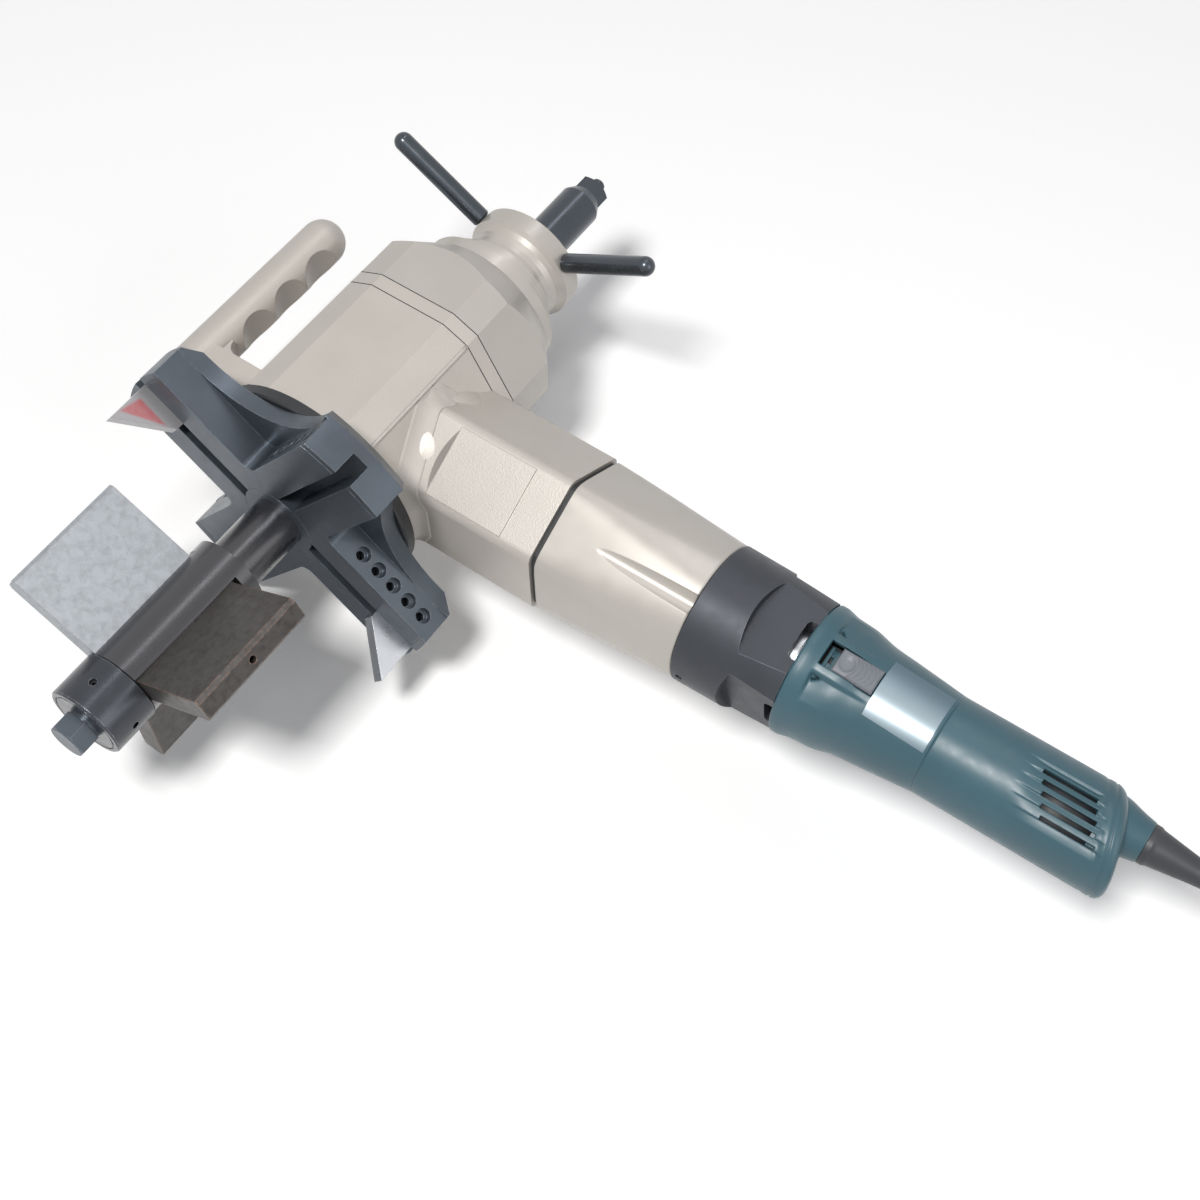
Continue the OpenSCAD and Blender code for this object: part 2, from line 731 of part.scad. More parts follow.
// Ball bearings of the pinion shaft, the sun shaft and the motor's shaft, each as one closed ring
module shaft_bearings() color(bright_steel) {
  for (x = [case_bore_r + thin, plate_x, sun_bearing_x]) outward(x) ring(seat_r, shaft_r + fit, bearing_w);
  for (x = [motor_bearing_x, tail_bearing_x]) outward(x)
    ring(motor_bearing_r, motor_shaft_r + fit, motor_bearing_w);
}

// Adapter collar

module adapter_collar() color(dark_steel) outward(adapter_x) difference() {
  turned([[0, adapter_r - chamfer], [chamfer, adapter_r], [adapter_cone_x, adapter_r - chamfer / 2],
    [adapter_len, adapter_end_r]]);
  translate([0, 0, -cut]) cylinder(r = adapter_bore_r, h = adapter_len + 2 * cut);
  for (a = wrench_angles) rotate(a) translate([wrench_flat_r, 0, wrench_x + wrench_r])
    rotate([0, 90, 0]) cylinder(r = wrench_r, h = adapter_r);
  for (a = window_angles) rotate(a) translate([0, 0, adapter_len]) rotate([90, 0, 90])
    linear_extrude(adapter_r) window_outline();
  rotate(pin_angle) translate([adapter_r - 2 * thin, 0, window_len]) rotate([0, 90, 0])
    cylinder(r = screw_r, h = 2 * thin + cut);
  for (a = adapter_screw_angles) rotate(a) translate([adapter_screw_ring_r, 0, -cut])
    cylinder(r = screw_r, h = adapter_len + 2 * cut);
}

// A window open to the rear, with round front corners
module window_outline() {
  translate([-window_w / 2, window_round - window_len]) square([window_w, window_len]);
  translate([window_round - window_w / 2, -window_len])
    square([window_w - 2 * window_round, window_len]);
  for (side = [-1, 1]) translate([side * (window_w / 2 - window_round), window_round - window_len])
    circle(r = window_round);
}

// The motor's own metal neck, which the adapter clamps
module motor_neck() color(bright_steel) outward(adapter_end_x - neck_ring_len) difference() {
  ring(adapter_bore_r - fit, seat_r, neck_ring_len);
  translate([0, 0, neck_ring_len - window_len / 2]) difference() {
    cylinder(r = adapter_r, h = groove_w);
    cylinder(r = adapter_bore_r - groove_w, h = groove_w);
  }
}

module adapter_screws() color(black) outward(adapter_x) for (a = adapter_screw_angles) rotate(a)
  translate([adapter_screw_ring_r, 0, 0]) cylinder(r = screw_r, h = adapter_len);

// Motor

// Radius of the motor's front housing at a share of its length
function front_profile(grow) = [for (p = front_shares)
  [p[0] * front_len, barrel_r + p[1] * (motor_front_r - barrel_r) + grow]];

module motor_front_housing() color(teal) outward(motor_x) difference() {
  union() {
    difference() {
      turned(front_profile(0));
      turned(front_profile(-motor_wall));
    }
    translate([0, 0, motor_bearing_x - motor_x])
      cylinder(r = motor_front_r - motor_wall, h = motor_bearing_w);
  }
  cylinder(r = motor_bearing_r, h = front_len);
  rotate(switch_angle) translate([slider_r - slider_t, -slider_w / 2 - gap,
    slider_x - motor_x - slider_travel - gap])
      cube([2 * slider_t + motor_wall, slider_w + 2 * gap, slider_len + slider_travel + 2 * gap]);
  rotate(switch_angle) translate([slider_r - 2 * slider_t, -slider_w / 2 + thin, slider_x - motor_x])
    cube([2 * slider_t, slider_w - 2 * thin, slider_len - slider_travel]);
}

module label_plate() color(slider_grey) outward(motor_x) intersection() {
  difference() {
    turned(front_profile(label_t));
    turned(front_profile(fit));
  }
  rotate(switch_angle) translate([0, -label_w / 2, front_len - label_len])
    cube([motor_front_r, label_w, label_len - thin]);
}

module switch_slider() color(slider_grey) outward(slider_x) rotate(switch_angle) difference() {
  translate([slider_r, -slider_w / 2, 0]) cube([slider_t, slider_w, slider_len]);
  for (i = [1 : slider_ridges])
    translate([slider_r + slider_t, slider_w / 2 + cut, i * slider_len / (slider_ridges + 1)])
      rotate([90, 0, 0]) cylinder(r = slider_ridge_r, h = slider_w + 2 * cut);
}

// Everything in front of the barrel's slanted and rounded end
module barrel_end() {
  end_r = barrel_r / cos(end_tilt) + clear;
  translate([0, 0, barrel_len]) rotate([0, end_tilt, 0]) mirror([0, 0, 1])
    turned(concat([for (p = end_shares) [p[0] * barrel_round, end_r + (p[1] - 1) * barrel_round]],
      [[2 * barrel_len, end_r + 2 * barrel_len * tan(2 * end_tilt)]]));
}

module motor_rear_housing() color(teal) outward(barrel_x) difference() {
  union() {
    difference() {
      intersection() {
        cylinder(r = barrel_r, h = barrel_len + barrel_round);
        barrel_end();
      }
      translate([0, 0, -cut])
        cylinder(r = barrel_r - motor_wall, h = barrel_len - 2 * barrel_round + cut);
    }
    translate([0, 0, tail_bearing_x - barrel_x])
      cylinder(r = barrel_r - motor_wall / 2, h = motor_bearing_w);
  }
  translate([0, 0, -cut])
    cylinder(r = motor_bearing_r, h = tail_bearing_x - barrel_x + motor_bearing_w + cut);
  for (side = [0, 180], i = [0 : vent_count - 1])
    rotate(vent_mid_angle + side + (i - (vent_count - 1) / 2) * vent_pitch)
      translate([barrel_r - 2 * motor_wall, -vent_w / 2, vent_x - barrel_x + (i % 2) * vent_w])
        cube([3 * motor_wall, vent_w, vent_len]);
  translate([exit_y, 0, barrel_len - 2 * barrel_round - cut])
    cylinder(r = holder_bore_r, h = 3 * barrel_round);
}

module stator() color(dark_steel) outward(rotor_x)
  ring(barrel_r - motor_wall, rotor_r + air_gap, rotor_len);

module brush_holders() color(bronze) outward(commutator_x + commutator_len / 2)
  for (side = [90, 270]) rotate(side) translate([commutator_r + gap, 0, 0]) rotate([0, 90, 0])
    cylinder(r = commutator_len / 4, h = barrel_r - motor_wall - commutator_r - 2 * gap);

// Cord

module cord_clamp() color(teal) outward(holder_x) translate([exit_y, 0, 0])
  turned([[0, holder_bore_r], [holder_step, holder_bore_r], [holder_step, holder_r],
    [holder_len - thin, holder_r], [holder_len, relief_r]]);

module strain_relief() color(black) outward(relief_x) translate([exit_y, 0, 0])
  turned([for (p = relief_shares) [p[0] * relief_len, relief_end_r + p[1] * (relief_r - relief_end_r)]]);

// Unit vector along v
function unit(v) = v / norm(v);

// Direction of a route at point i, from its neighbours
function heading(route, i) = unit(route[min(i + 1, len(route) - 1)] - route[max(i - 1, 0)]);

// Ring of points round a route's point; side is a direction that the route never takes
function tube_ring(route, i, r, sides, side) =
  let (t = heading(route, i), u = unit(cross(t, side)), v = cross(t, u))
  [for (k = [0 : sides - 1]) let (a = 360 * k / sides) route[i] + r * (cos(a) * u + sin(a) * v)];

// A tube of triangles along a route
module tube(route, r, sides, side) {
  rings = len(route);
  last = 2 + (rings - 1) * sides;
  polyhedron(
    points = concat([route[0], route[rings - 1]],
      [for (i = [0 : rings - 1]) each tube_ring(route, i, r, sides, side)]),
    faces = concat(
      [for (k = [0 : sides - 1]) [0, 2 + (k + 1) % sides, 2 + k]],
      [for (k = [0 : sides - 1]) [1, last + k, last + (k + 1) % sides]],
      [for (i = [0 : rings - 2], k = [0 : sides - 1])
        let (a = 2 + i * sides + k, b = 2 + i * sides + (k + 1) % sides)
        each [[a, b, b + sides], [a, b + sides, a + sides]]]));
}

// Point of the coil after t turns: it spirals in and out in turn, and climbs a layer at each reversal
function coil_layer(t) = min(coil_layers - 1, floor(t / layer_turns));

function coil_radius(t) = let (k = coil_layer(t), u = t - k * layer_turns)
  coil_r + (k % 2 == 0 ? 1 : -1) * coil_pitch * (layer_turns / 2 - u);

function coil_rise(t) = let (steps = [for (k = [1 : coil_layers - 1])
  min(1, max(0, (t - k * layer_turns + climb_turns / 2) / climb_turns))])
  steps * [for (k = steps) coil_pitch];

function coil_point(t) = let (a = 90 - 360 * t) [coil_x + coil_radius(t) * cos(a),
  coil_y + coil_radius(t) * sin(a), floor_z + cord_r + coil_rise(t)];

coil_route = [for (i = [0 : coil_turns * coil_steps]) coil_point(i / coil_steps)];

// Least distance between parts of the coil that are over half a turn apart, less the cord's width
function coil_gap() = min([for (i = [0 : len(coil_route) - 1])
  for (j = [i + coil_steps / 2 : 1 : len(coil_route) - 1]) norm(coil_route[i] - coil_route[j])]) - cord_d;

module cord_run() color(black) translate([0, jaw_mid_s, 0]) tube(run_route, cord_r, 8, [0, 1, 0]);

module cord_coil() color(black) translate([0, jaw_mid_s, 0]) {
  echo(least_gap_of_the_coil_to_itself = coil_gap());
  tube(coil_route, cord_r, coil_sides, [0, 0, 1]);
}

module cord_tail() color(black) translate([0, jaw_mid_s, 0]) tube(tail_route, cord_r, 8, [1, 0, 0]);

module plug() color(black) translate(tail_route[len(tail_route) - 1]) translate([0, jaw_mid_s, 0])
  rotate([90, 0, 0]) {
  turned([for (p = plug_shares)
    [p[0] * plug_len, cord_r + thin + p[1] * (plug_r - cord_r - thin)]]);
  for (side = [-1, 1]) translate([side * pin_pitch / 2, 0, plug_len]) {
    cylinder(r = pin_r, h = pin_len - pin_r);
    translate([0, 0, pin_len - pin_r]) sphere(r = pin_r, $fn = 32);
  }
}

// Spindle and tool head

module spindle_sleeve() color(bright_steel) front(sleeve_back_s)
  ring(sleeve_r, sleeve_bore_r, plate_back_s + seat_depth - sleeve_back_s);

module crown_gear() color(bright_steel) front(0) {
  root = pinion_r + dedendum_share * crown_module;
  difference() {
    translate([0, 0, root]) cylinder(r = crown_r + crown_face, h = crown_back_s - root);
    cylinder(r = sleeve_r, h = crown_back_s + cut);
  }
  for (i = [0 : crown_teeth - 1]) rotate(360 / crown_teeth * (i + 0.5))
    translate([0, 0, pinion_r - addendum_share * crown_module]) linear_extrude(root - pinion_r
      + addendum_share * crown_module + thin / 4) crown_tooth();
}

// Plan of one tooth of the crown gear, as wide as its share of the pitch
module crown_tooth() {
  half = 180 / crown_teeth * pitch_share;
  polygon([for (p = [[-1, -1], [1, -1], [1, 1], [-1, 1]]) let (r = crown_r + p[0] * crown_face / 2)
    [r * cos(half), p[1] * r * sin(half)]]);
}

module arm_frames() for (a = arm_angles) rotate(a) children();

// Four bars with fillets between them
module bars_outline() {
  arm_frames() translate([0, side_low]) square([head_r, side_high - side_low]);
  arm_frames() translate([-side_low - cut, side_high - cut]) difference() {
    square(corner_r + cut);
    translate([corner_r + cut, corner_r + cut]) circle(r = corner_r);
  }
}

module slots_outline() arm_frames() translate([0, slot_low]) square([head_r + cut, slot_w]);

module star_outline() difference() {
  circle(r = head_r);
  arm_frames() translate([scallop_r - side_low, scallop_r + side_high]) circle(r = scallop_r);
}

module tool_head() color(blued) front(0) difference() {
  intersection() {
    union() {
      translate([0, 0, bar_back_s]) linear_extrude(face_s - bar_back_s) bars_outline();
      translate([0, 0, plate_back_s]) linear_extrude(bar_back_s - plate_back_s) star_outline();
    }
    translate([0, 0, plate_back_s])
      turned([[plate_back_s, head_r - rim_cone], [rim_back_s, head_r], [face_s, head_r]]);
  }
  translate([0, 0, face_s - slot_depth]) linear_extrude(slot_depth + cut) slots_outline();
  cylinder(r = head_bore_r, h = face_s + cut);
  cylinder(r = sleeve_r, h = plate_back_s + seat_depth);
  translate([0, 0, face_s - groove_w / 2]) ring(groove_r + groove_w, groove_r, cut);
  arm_frames() for (along = screw_alongs) translate([along, 0, screw_s]) rotate([-90, 0, 0]) {
    translate([0, 0, slot_low + slot_w / 2]) cylinder(r = set_r, h = side_high);
    translate([0, 0, side_high - set_bore_depth]) cylinder(r = set_bore_r, h = set_bore_depth + cut);
  }
}

module set_screws() color(black) front(0) arm_frames() for (along = screw_alongs)
  translate([along, slot_low + slot_w, screw_s]) rotate([-90, 0, 0]) difference() {
    cylinder(r = set_r, h = set_len);
    translate([0, 0, set_len - thin]) cylinder(r = set_r / 2, h = thin + cut, $fn = 6);
  }

module tool_bit(angle) color(bright_steel) front(0) rotate(angle)
  translate([0, slot_low + slot_w - slide_gap, 0]) rotate([90, 0, 0])
    linear_extrude(slot_w - 2 * slide_gap)
      polygon([[bit_inner, face_s - slot_depth + slide_gap], [bit_inner, face_s + bit_low_rise],
        [bit_outer, face_s + bit_reach], [bit_outer, face_s - slot_depth + slide_gap]]);

module tool_bit_a() tool_bit(arm_angles[0]);

module tool_bit_b() tool_bit(arm_angles[2]);

// Gears and shafts

module pinion_carrier() color(bright_steel) {
  outward(crown_r - pinion_face / 2) linear_extrude(pinion_face) gear_outline(pinion_teeth, crown_module);
  outward(crown_r + pinion_face / 2) cylinder(r = shaft_r, h = carrier_x - crown_r - pinion_face / 2);
  outward(carrier_x) cylinder(r = carrier_arm + 2 * pin_gear_r, h = carrier_t);
  outward(carrier_x + carrier_t) planet_places() cylinder(r = pin_gear_r, h = gear_gap + gear_w);
}

module planet_places() for (i = [0 : 2]) rotate(120 * i) translate([carrier_arm, 0, 0]) children();

module planet_gear(i) color(bright_steel) outward(gear_x) rotate(120 * i) translate([carrier_arm, 0, 0])
  difference() {
    rotate(180 + 180 / planet_teeth) linear_extrude(gear_w) gear_outline(planet_teeth, stage_module);
    translate([0, 0, -cut]) cylinder(r = pin_gear_r + fit, h = gear_w + 2 * cut);
  }

module planet_gear_1() planet_gear(0);

module planet_gear_2() planet_gear(1);

module planet_gear_3() planet_gear(2);

module sun_shaft() color(bright_steel) {
  outward(gear_x) linear_extrude(gear_w) gear_outline(sun_teeth, stage_module);
  outward(gear_x + gear_w) cylinder(r = sun_neck_r, h = gear_gap);
  outward(gear_x + gear_w + gear_gap) cylinder(r = shaft_r, h = coupling_x - gear_x - gear_w - gear_gap);
  outward(coupling_x) difference() {
    cylinder(r = coupling_r, h = coupling_len);
    translate([0, 0, coupling_len / 2]) cylinder(r = motor_shaft_r, h = coupling_len);
  }
}

module armature() color(dark_steel) {
  outward(coupling_x + coupling_len / 2)
    cylinder(r = motor_shaft_r, h = rotor_x - coupling_x - coupling_len / 2);
  outward(rotor_x) cylinder(r = rotor_r, h = rotor_len);
  outward(rotor_x + rotor_len) cylinder(r = motor_shaft_r,
    h = tail_bearing_x + motor_bearing_w - rotor_x - rotor_len);
}

module commutator() color(copper) outward(commutator_x) ring(commutator_r, motor_shaft_r, commutator_len);

module fan() color(black) outward(fan_x) {
  difference() {
    union() {
      cylinder(r = 2 * motor_shaft_r, h = fan_len);
      cylinder(r = fan_r, h = thin);
      for (i = [0 : fan_blades - 1]) rotate(i * 360 / fan_blades)
        translate([motor_shaft_r + thin, -thin / 2, 0])
          cube([fan_r - motor_shaft_r - 2 * thin, thin, fan_len]);
    }
    translate([0, 0, -cut]) cylinder(r = motor_shaft_r, h = fan_len + 2 * cut);
  }
}

// Feed hub and levers

module feed_hub() color(silver) front(0) mirror([0, 0, 1]) difference() {
  union() {
    translate([0, 0, -hub_stem_s]) cylinder(r = stem_r, h = hub_base_y + hub_stem_s);
    translate([0, 0, -hub_stem_s]) cylinder(r = hub_collar_r, h = hub_collar_len);
    translate([0, 0, hub_base_y]) turned([for (p = hub_shares)
      [p[0] * (-hub_face_s - hub_base_y), p[1] * hub_flange_r]]);
  }
  translate([0, 0, -hub_stem_s - cut])
    cylinder(r = neck_r + fit, h = hub_stem_s - hub_face_s + 2 * cut);
  for (a = jaw_angles) translate([0, 0, -lever_s]) rotate([0, 0, a]) rotate([0, 90, 0])
    translate([0, 0, hub_flange_r - lever_stub_len]) cylinder(r = lever_stub_r, h = lever_stub_len + cut);
}

module feed_lever(angle) color(blued) front(lever_s) rotate(angle) rotate([0, 90, 0])
  translate([0, 0, hub_flange_r - lever_stub_len]) {
    cylinder(r = lever_stub_r, h = lever_stub_len + thin);
    translate([0, 0, lever_stub_len + gap]) turned([[0, lever_r - chamfer], [chamfer, lever_r],
      [lever_tip_r - hub_flange_r - lever_r - gap, lever_r]]);
    translate([0, 0, lever_stub_len + lever_tip_r - hub_flange_r - lever_r]) sphere(r = lever_r);
  }

module feed_lever_1() feed_lever(jaw_angles[0]);

module feed_lever_2() feed_lever(jaw_angles[1]);

module feed_lever_3() feed_lever(jaw_angles[2]);

mandrel_tube();
front_collar();
collar_screws();
front_plug();
thrust_washer();
draw_rod();
wedge_core();
jaw_1();
jaw_2();
jaw_3();
tension_nut();
housing_body();
flange_ring();
guide_sleeve();
guide_key();
rear_cover();
case_screws();
spindle_bearing_outers();
spindle_bearing_balls();
dust_ring();
hub_bush();
arm_seal_ring();
arm_nose();
ring_gear();
bearing_plate();
shaft_bearings();
adapter_collar();
adapter_screws();
motor_neck();
motor_front_housing();
motor_rear_housing();
stator();
brush_holders();
label_plate();
switch_slider();
cord_clamp();
strain_relief();
cord_run();
cord_coil();
cord_tail();
plug();
spindle_sleeve();
crown_gear();
spindle_bearing_inners();
tool_head();
set_screws();
tool_bit_a();
tool_bit_b();
pinion_carrier();
planet_gear_1();
planet_gear_2();
planet_gear_3();
sun_shaft();
armature();
commutator();
fan();
feed_hub();
feed_lever_1();
feed_lever_2();
feed_lever_3();
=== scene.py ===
"""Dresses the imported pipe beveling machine: camera, cord, materials, fine forms, floor and light."""
import math

import bpy
import bmesh
from mathutils import Matrix, Vector


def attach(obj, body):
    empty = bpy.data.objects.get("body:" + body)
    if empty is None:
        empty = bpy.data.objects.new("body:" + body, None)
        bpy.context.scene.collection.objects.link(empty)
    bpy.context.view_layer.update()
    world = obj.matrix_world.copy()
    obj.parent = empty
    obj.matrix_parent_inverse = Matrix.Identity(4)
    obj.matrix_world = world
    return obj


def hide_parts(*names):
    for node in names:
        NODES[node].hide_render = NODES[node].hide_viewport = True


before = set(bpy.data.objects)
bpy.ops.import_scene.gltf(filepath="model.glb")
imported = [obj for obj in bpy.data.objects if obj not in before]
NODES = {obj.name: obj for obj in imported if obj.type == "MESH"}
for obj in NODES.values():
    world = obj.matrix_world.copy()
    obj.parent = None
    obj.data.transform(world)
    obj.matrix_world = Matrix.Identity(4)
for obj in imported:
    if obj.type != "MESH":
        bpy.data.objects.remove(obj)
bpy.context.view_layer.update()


def linked(name, data):
    """An object made from data and put in the scene."""
    made = bpy.data.objects.new(name, data)
    bpy.context.scene.collection.objects.link(made)
    return made


# Camera, solved from the photograph's round and square features
RIGHT = Vector((0.8197935, 0.5726198, -0.0067262))
DOWN = Vector((0.4845781, -0.6999116, -0.5246978))
FORWARD = Vector((-0.3051601, 0.4268845, -0.851262))
EYE = Vector((0.557231, -0.311136, 0.970006))
camera_data = bpy.data.cameras.new("camera")
camera_data.sensor_width = 36.0
camera_data.lens = 53.458
camera_data.clip_start = 0.05
camera_data.clip_end = 20.0
camera = linked("camera", camera_data)
turn = Matrix((RIGHT, -DOWN, -FORWARD)).transposed().to_4x4()
camera.matrix_world = Matrix.Translation(EYE) @ turn
bpy.context.scene.camera = camera

# Motor's axis and the floor, in metres; shapes are given in millimetres from the motor's axis
MOTOR_Y = 0.208
FLOOR_Z = -0.127


def place(x, y, z):
    """A point given in millimetres from the motor's axis."""
    return Vector((x, y, z)) / 1000 + Vector((0, MOTOR_Y, 0))


def cos_sin(degrees):
    """Cosine and sine of an angle in degrees."""
    a = math.radians(degrees)
    return math.cos(a), math.sin(a)


def polar(x, r, phi, across=0.0):
    """A point out from the motor's axis at an angle, then moved across that direction."""
    c, s = cos_sin(phi)
    return (x, r * c - across * s, r * s + across * c)


def stations(start, count, gap=1.0):
    """Evenly spaced places from a start."""
    return [start + gap * k for k in range(count)]


# Cord: down from the strain relief to the floor, into its coil and out to the plug
CORD_D = 0.0075
CORD_Y = 12.5
RUN = [(628, 12.5, 0), (642, 12.5, 0), (661, 12.5, -4), (680, 12.5, -15), (696, 12.5, -31),
       (709, 12.5, -51), (721, 12.5, -73), (735, 12.5, -94), (753, 12.5, -110), (776, 12.5, -120),
       (800, 12.5, -123.2), (819.6, 12.5, -123.25)]
TAIL = [(878.4, -46.3, -98.95), (878.4, -54, -98.95), (878.4, -72, -101), (878.4, -90, -106),
        (878.4, -106, -109.5), (878.4, -114, -110)]
RUN_STEPS = 3
TAIL_STEPS = 4
COIL_TURNS = 13.25
COIL_LAYERS = 4
LAYER_TURNS = COIL_TURNS / COIL_LAYERS
CLIMB_TURNS = 0.5
TURN_STEPS = 36
COIL_R = 45.0
COIL_PITCH = 8.1
COIL_X = 820.0
COIL_Y = CORD_Y - COIL_R - COIL_PITCH * LAYER_TURNS / 2
COIL_Z = 1000 * (FLOOR_Z + CORD_D / 2)


def coil_point(t):
    """Point of the coil after t turns: it spirals in, then out, and climbs a layer each time."""
    layer = min(COIL_LAYERS - 1, int(t / LAYER_TURNS))
    wound = t - layer * LAYER_TURNS
    r = COIL_R + (1 if layer % 2 == 0 else -1) * COIL_PITCH * (LAYER_TURNS / 2 - wound)
    rise = sum(min(1.0, max(0.0, (t - k * LAYER_TURNS + CLIMB_TURNS / 2) / CLIMB_TURNS))
               for k in range(1, COIL_LAYERS))
    c, s = cos_sin(90 - 360 * t)
    return (COIL_X + r * c, COIL_Y + r * s, COIL_Z + rise * COIL_PITCH)


def smooth_line(points, steps):
    """Points on a Catmull-Rom curve through the given ones."""
    line = [Vector(p) for p in points]
    ends = [line[0] * 2 - line[1]] + line + [line[-1] * 2 - line[-2]]
    made = []
    for i in range(1, len(ends) - 2):
        a, b, c, d = ends[i - 1:i + 3]
        for k in range(steps):
            t = k / steps
            made.append(0.5 * (2 * b + (c - a) * t + (2 * a - 5 * b + 4 * c - d) * t * t
                               + (3 * b - a - 3 * c + d) * t ** 3))
    return made + [line[-1]]


coil = [Vector(coil_point(i / TURN_STEPS)) for i in range(1, int(COIL_TURNS * TURN_STEPS))]
route = [place(*p) for p in smooth_line(RUN, RUN_STEPS) + coil + smooth_line(TAIL, TAIL_STEPS)]

curve = bpy.data.curves.new("mains_cord", "CURVE")
curve.dimensions = "3D"
curve.bevel_depth = 1.0
curve.bevel_resolution = 4
curve.use_fill_caps = True
spline = curve.splines.new("POLY")
spline.points.add(len(route) - 1)
for point, spot in zip(spline.points, route):
    point.co = (*spot, 1)
    point.radius = CORD_D / 2
spline.use_smooth = True
cord = linked("mains_cord", curve)
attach(cord, "housing")
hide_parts("cord_run", "cord_coil", "cord_tail")


# Materials
def linear(r, g, b, share=1.0):
    """A colour from sRGB values of 0 to 255, made darker or brighter by a share."""
    def one(v):
        v = v / 255
        return share * (v / 12.92 if v <= 0.04045 else ((v + 0.055) / 1.055) ** 2.4)
    return (one(r), one(g), one(b), 1.0)


class Finish:
    """Builds one node material around a Principled shader."""

    EDGE_COSINE = 0.998

    def __init__(self, name, rough=0.4, metallic=0.0, coat=0.0):
        self.material = bpy.data.materials.new(name)
        self.material.use_nodes = True
        self.tree = self.material.node_tree
        self.shader = self.tree.nodes["Principled BSDF"]
        self.shader.inputs["Roughness"].default_value = rough
        self.shader.inputs["Metallic"].default_value = metallic
        self.shader.inputs["Coat Weight"].default_value = coat
        self.spot = self.add("TexCoord").outputs["Object"]
        self.normal = None

    def add(self, kind, settings=None, inputs=None):
        """A node with its settings, and its inputs as numbers or as sockets to link."""
        node = self.tree.nodes.new("ShaderNode" + kind)
        for key, value in (settings or {}).items():
            setattr(node, key, value)
        for key, value in (inputs or {}).items():
            if isinstance(value, bpy.types.NodeSocket):
                self.tree.links.new(value, node.inputs[key])
            else:
                node.inputs[key].default_value = value
        return node

    def put(self, key, value):
        """Links a value to the shader."""
        self.tree.links.new(value, self.shader.inputs[key])

    def stretched(self, stretch, turned=(0, 0, 0)):
        """The surface's place, scaled along each direction and turned."""
        inputs = {"Vector": self.spot, "Scale": stretch, "Rotation": turned}
        return self.add("Mapping", None, inputs).outputs["Vector"]

    def noise(self, scale, detail=3.0, rough=0.55, where=None, distortion=0.0):
        inputs = {"Vector": where or self.spot, "Scale": scale, "Detail": detail,
                  "Roughness": rough, "Distortion": distortion}
        return self.add("TexNoise", None, inputs).outputs["Fac"]

    def span(self, value, low, high, to_low=0.0, to_high=1.0):
        """A value mapped from one span to another and held at its ends."""
        inputs = {"Value": value, "From Min": low, "From Max": high, "To Min": to_low, "To Max": to_high}
        return self.add("MapRange", None, inputs).outputs["Result"]

    def math(self, kind, a, b=0.0):
        return self.add("Math", {"operation": kind}, {0: a, 1: b}).outputs[0]

    def mix(self, share, a, b):
        return self.add("Mix", {"data_type": "RGBA"}, {0: share, 6: a, 7: b}).outputs[2]

    def dot(self, a, b):
        return self.add("VectorMath", {"operation": "DOT_PRODUCT"}, {0: a, 1: b}).outputs["Value"]

    def bevel(self, radius):
        """The surface's direction as if its edges were round."""
        return self.add("Bevel", {"samples": 4}, {"Radius": radius}).outputs[0]

    def edges(self, radius, reach=0.06):
        """One on edges that the bevel rounds and zero on flats."""
        bevel = self.bevel(radius)
        true = self.add("NewGeometry").outputs["True Normal"]
        return self.span(self.dot(bevel, true), self.EDGE_COSINE, 1.0 - reach)

    def rounded(self, radius):
        self.normal = self.bevel(radius)

    def bump(self, height, strength, distance):
        inputs = {"Height": height, "Strength": strength, "Distance": distance}
        if self.normal is not None:
            inputs["Normal"] = self.normal
        self.normal = self.add("Bump", None, inputs).outputs[0]

    def done(self):
        if self.normal is not None:
            self.put("Normal", self.normal)
        return self.material


def paint(name, colour, rough, metallic, grain, strength, radius=0.0009):
    """Sprayed metallic paint with a fine grain."""
    f = Finish(name, rough, metallic)
    cloud = f.span(f.noise(14, 4), 0.3, 0.7)
    f.put("Base Color", f.mix(cloud, linear(*colour, share=0.96), linear(*colour, share=1.03)))
    if radius:
        f.rounded(radius)
    f.bump(f.noise(grain, 3, 0.6), strength, 0.0004)
    f.put("Roughness", f.span(f.noise(60, 4), 0.3, 0.7, rough - 0.05, rough + 0.07))
    return f.done()


def steel(name, colour, rough, metallic=1.0, edge=None, patches=0.1, brush=None, brushed=0.0,
          radius=0.0005, coat=0.0):
    """Steel with a cloudy tone, brighter worn edges and fine tool marks."""
    f = Finish(name, rough, metallic, coat)
    f.shader.inputs["Coat Roughness"].default_value = rough
    cloud = f.span(f.noise(35, 5, 0.6), 0.35, 0.65)
    base = f.mix(cloud, linear(*colour, share=1 - patches), linear(*colour, share=1 + patches))
    if edge:
        mask = f.math("MULTIPLY", f.edges(radius * 1.6), f.span(f.noise(260, 4), 0.35, 0.6))
        base = f.mix(mask, base, linear(*edge))
    f.put("Base Color", base)
    f.put("Roughness", f.span(f.noise(90, 5, 0.65), 0.3, 0.7, rough - 0.04, rough + 0.08))
    if radius:
        f.rounded(radius)
    if brush:
        f.bump(f.noise(1, 3, 0.7, f.stretched(brush)), brushed, 0.0002)
    f.bump(f.noise(700, 3), 0.04, 0.0002)
    return f.done()


def plastic(name, colour, rough, grain=1500, strength=0.08):
    """Moulded plastic or rubber with a fine grain."""
    f = Finish(name, rough)
    cloud = f.span(f.noise(18, 3), 0.3, 0.7)
    f.put("Base Color", f.mix(cloud, linear(*colour, share=0.92), linear(*colour, share=1.08)))
    f.put("Roughness", f.span(f.noise(120, 4), 0.3, 0.7, rough - 0.04, rough + 0.06))
    f.rounded(0.0007)
    f.bump(f.noise(grain, 2), strength, 0.0003)
    return f.done()


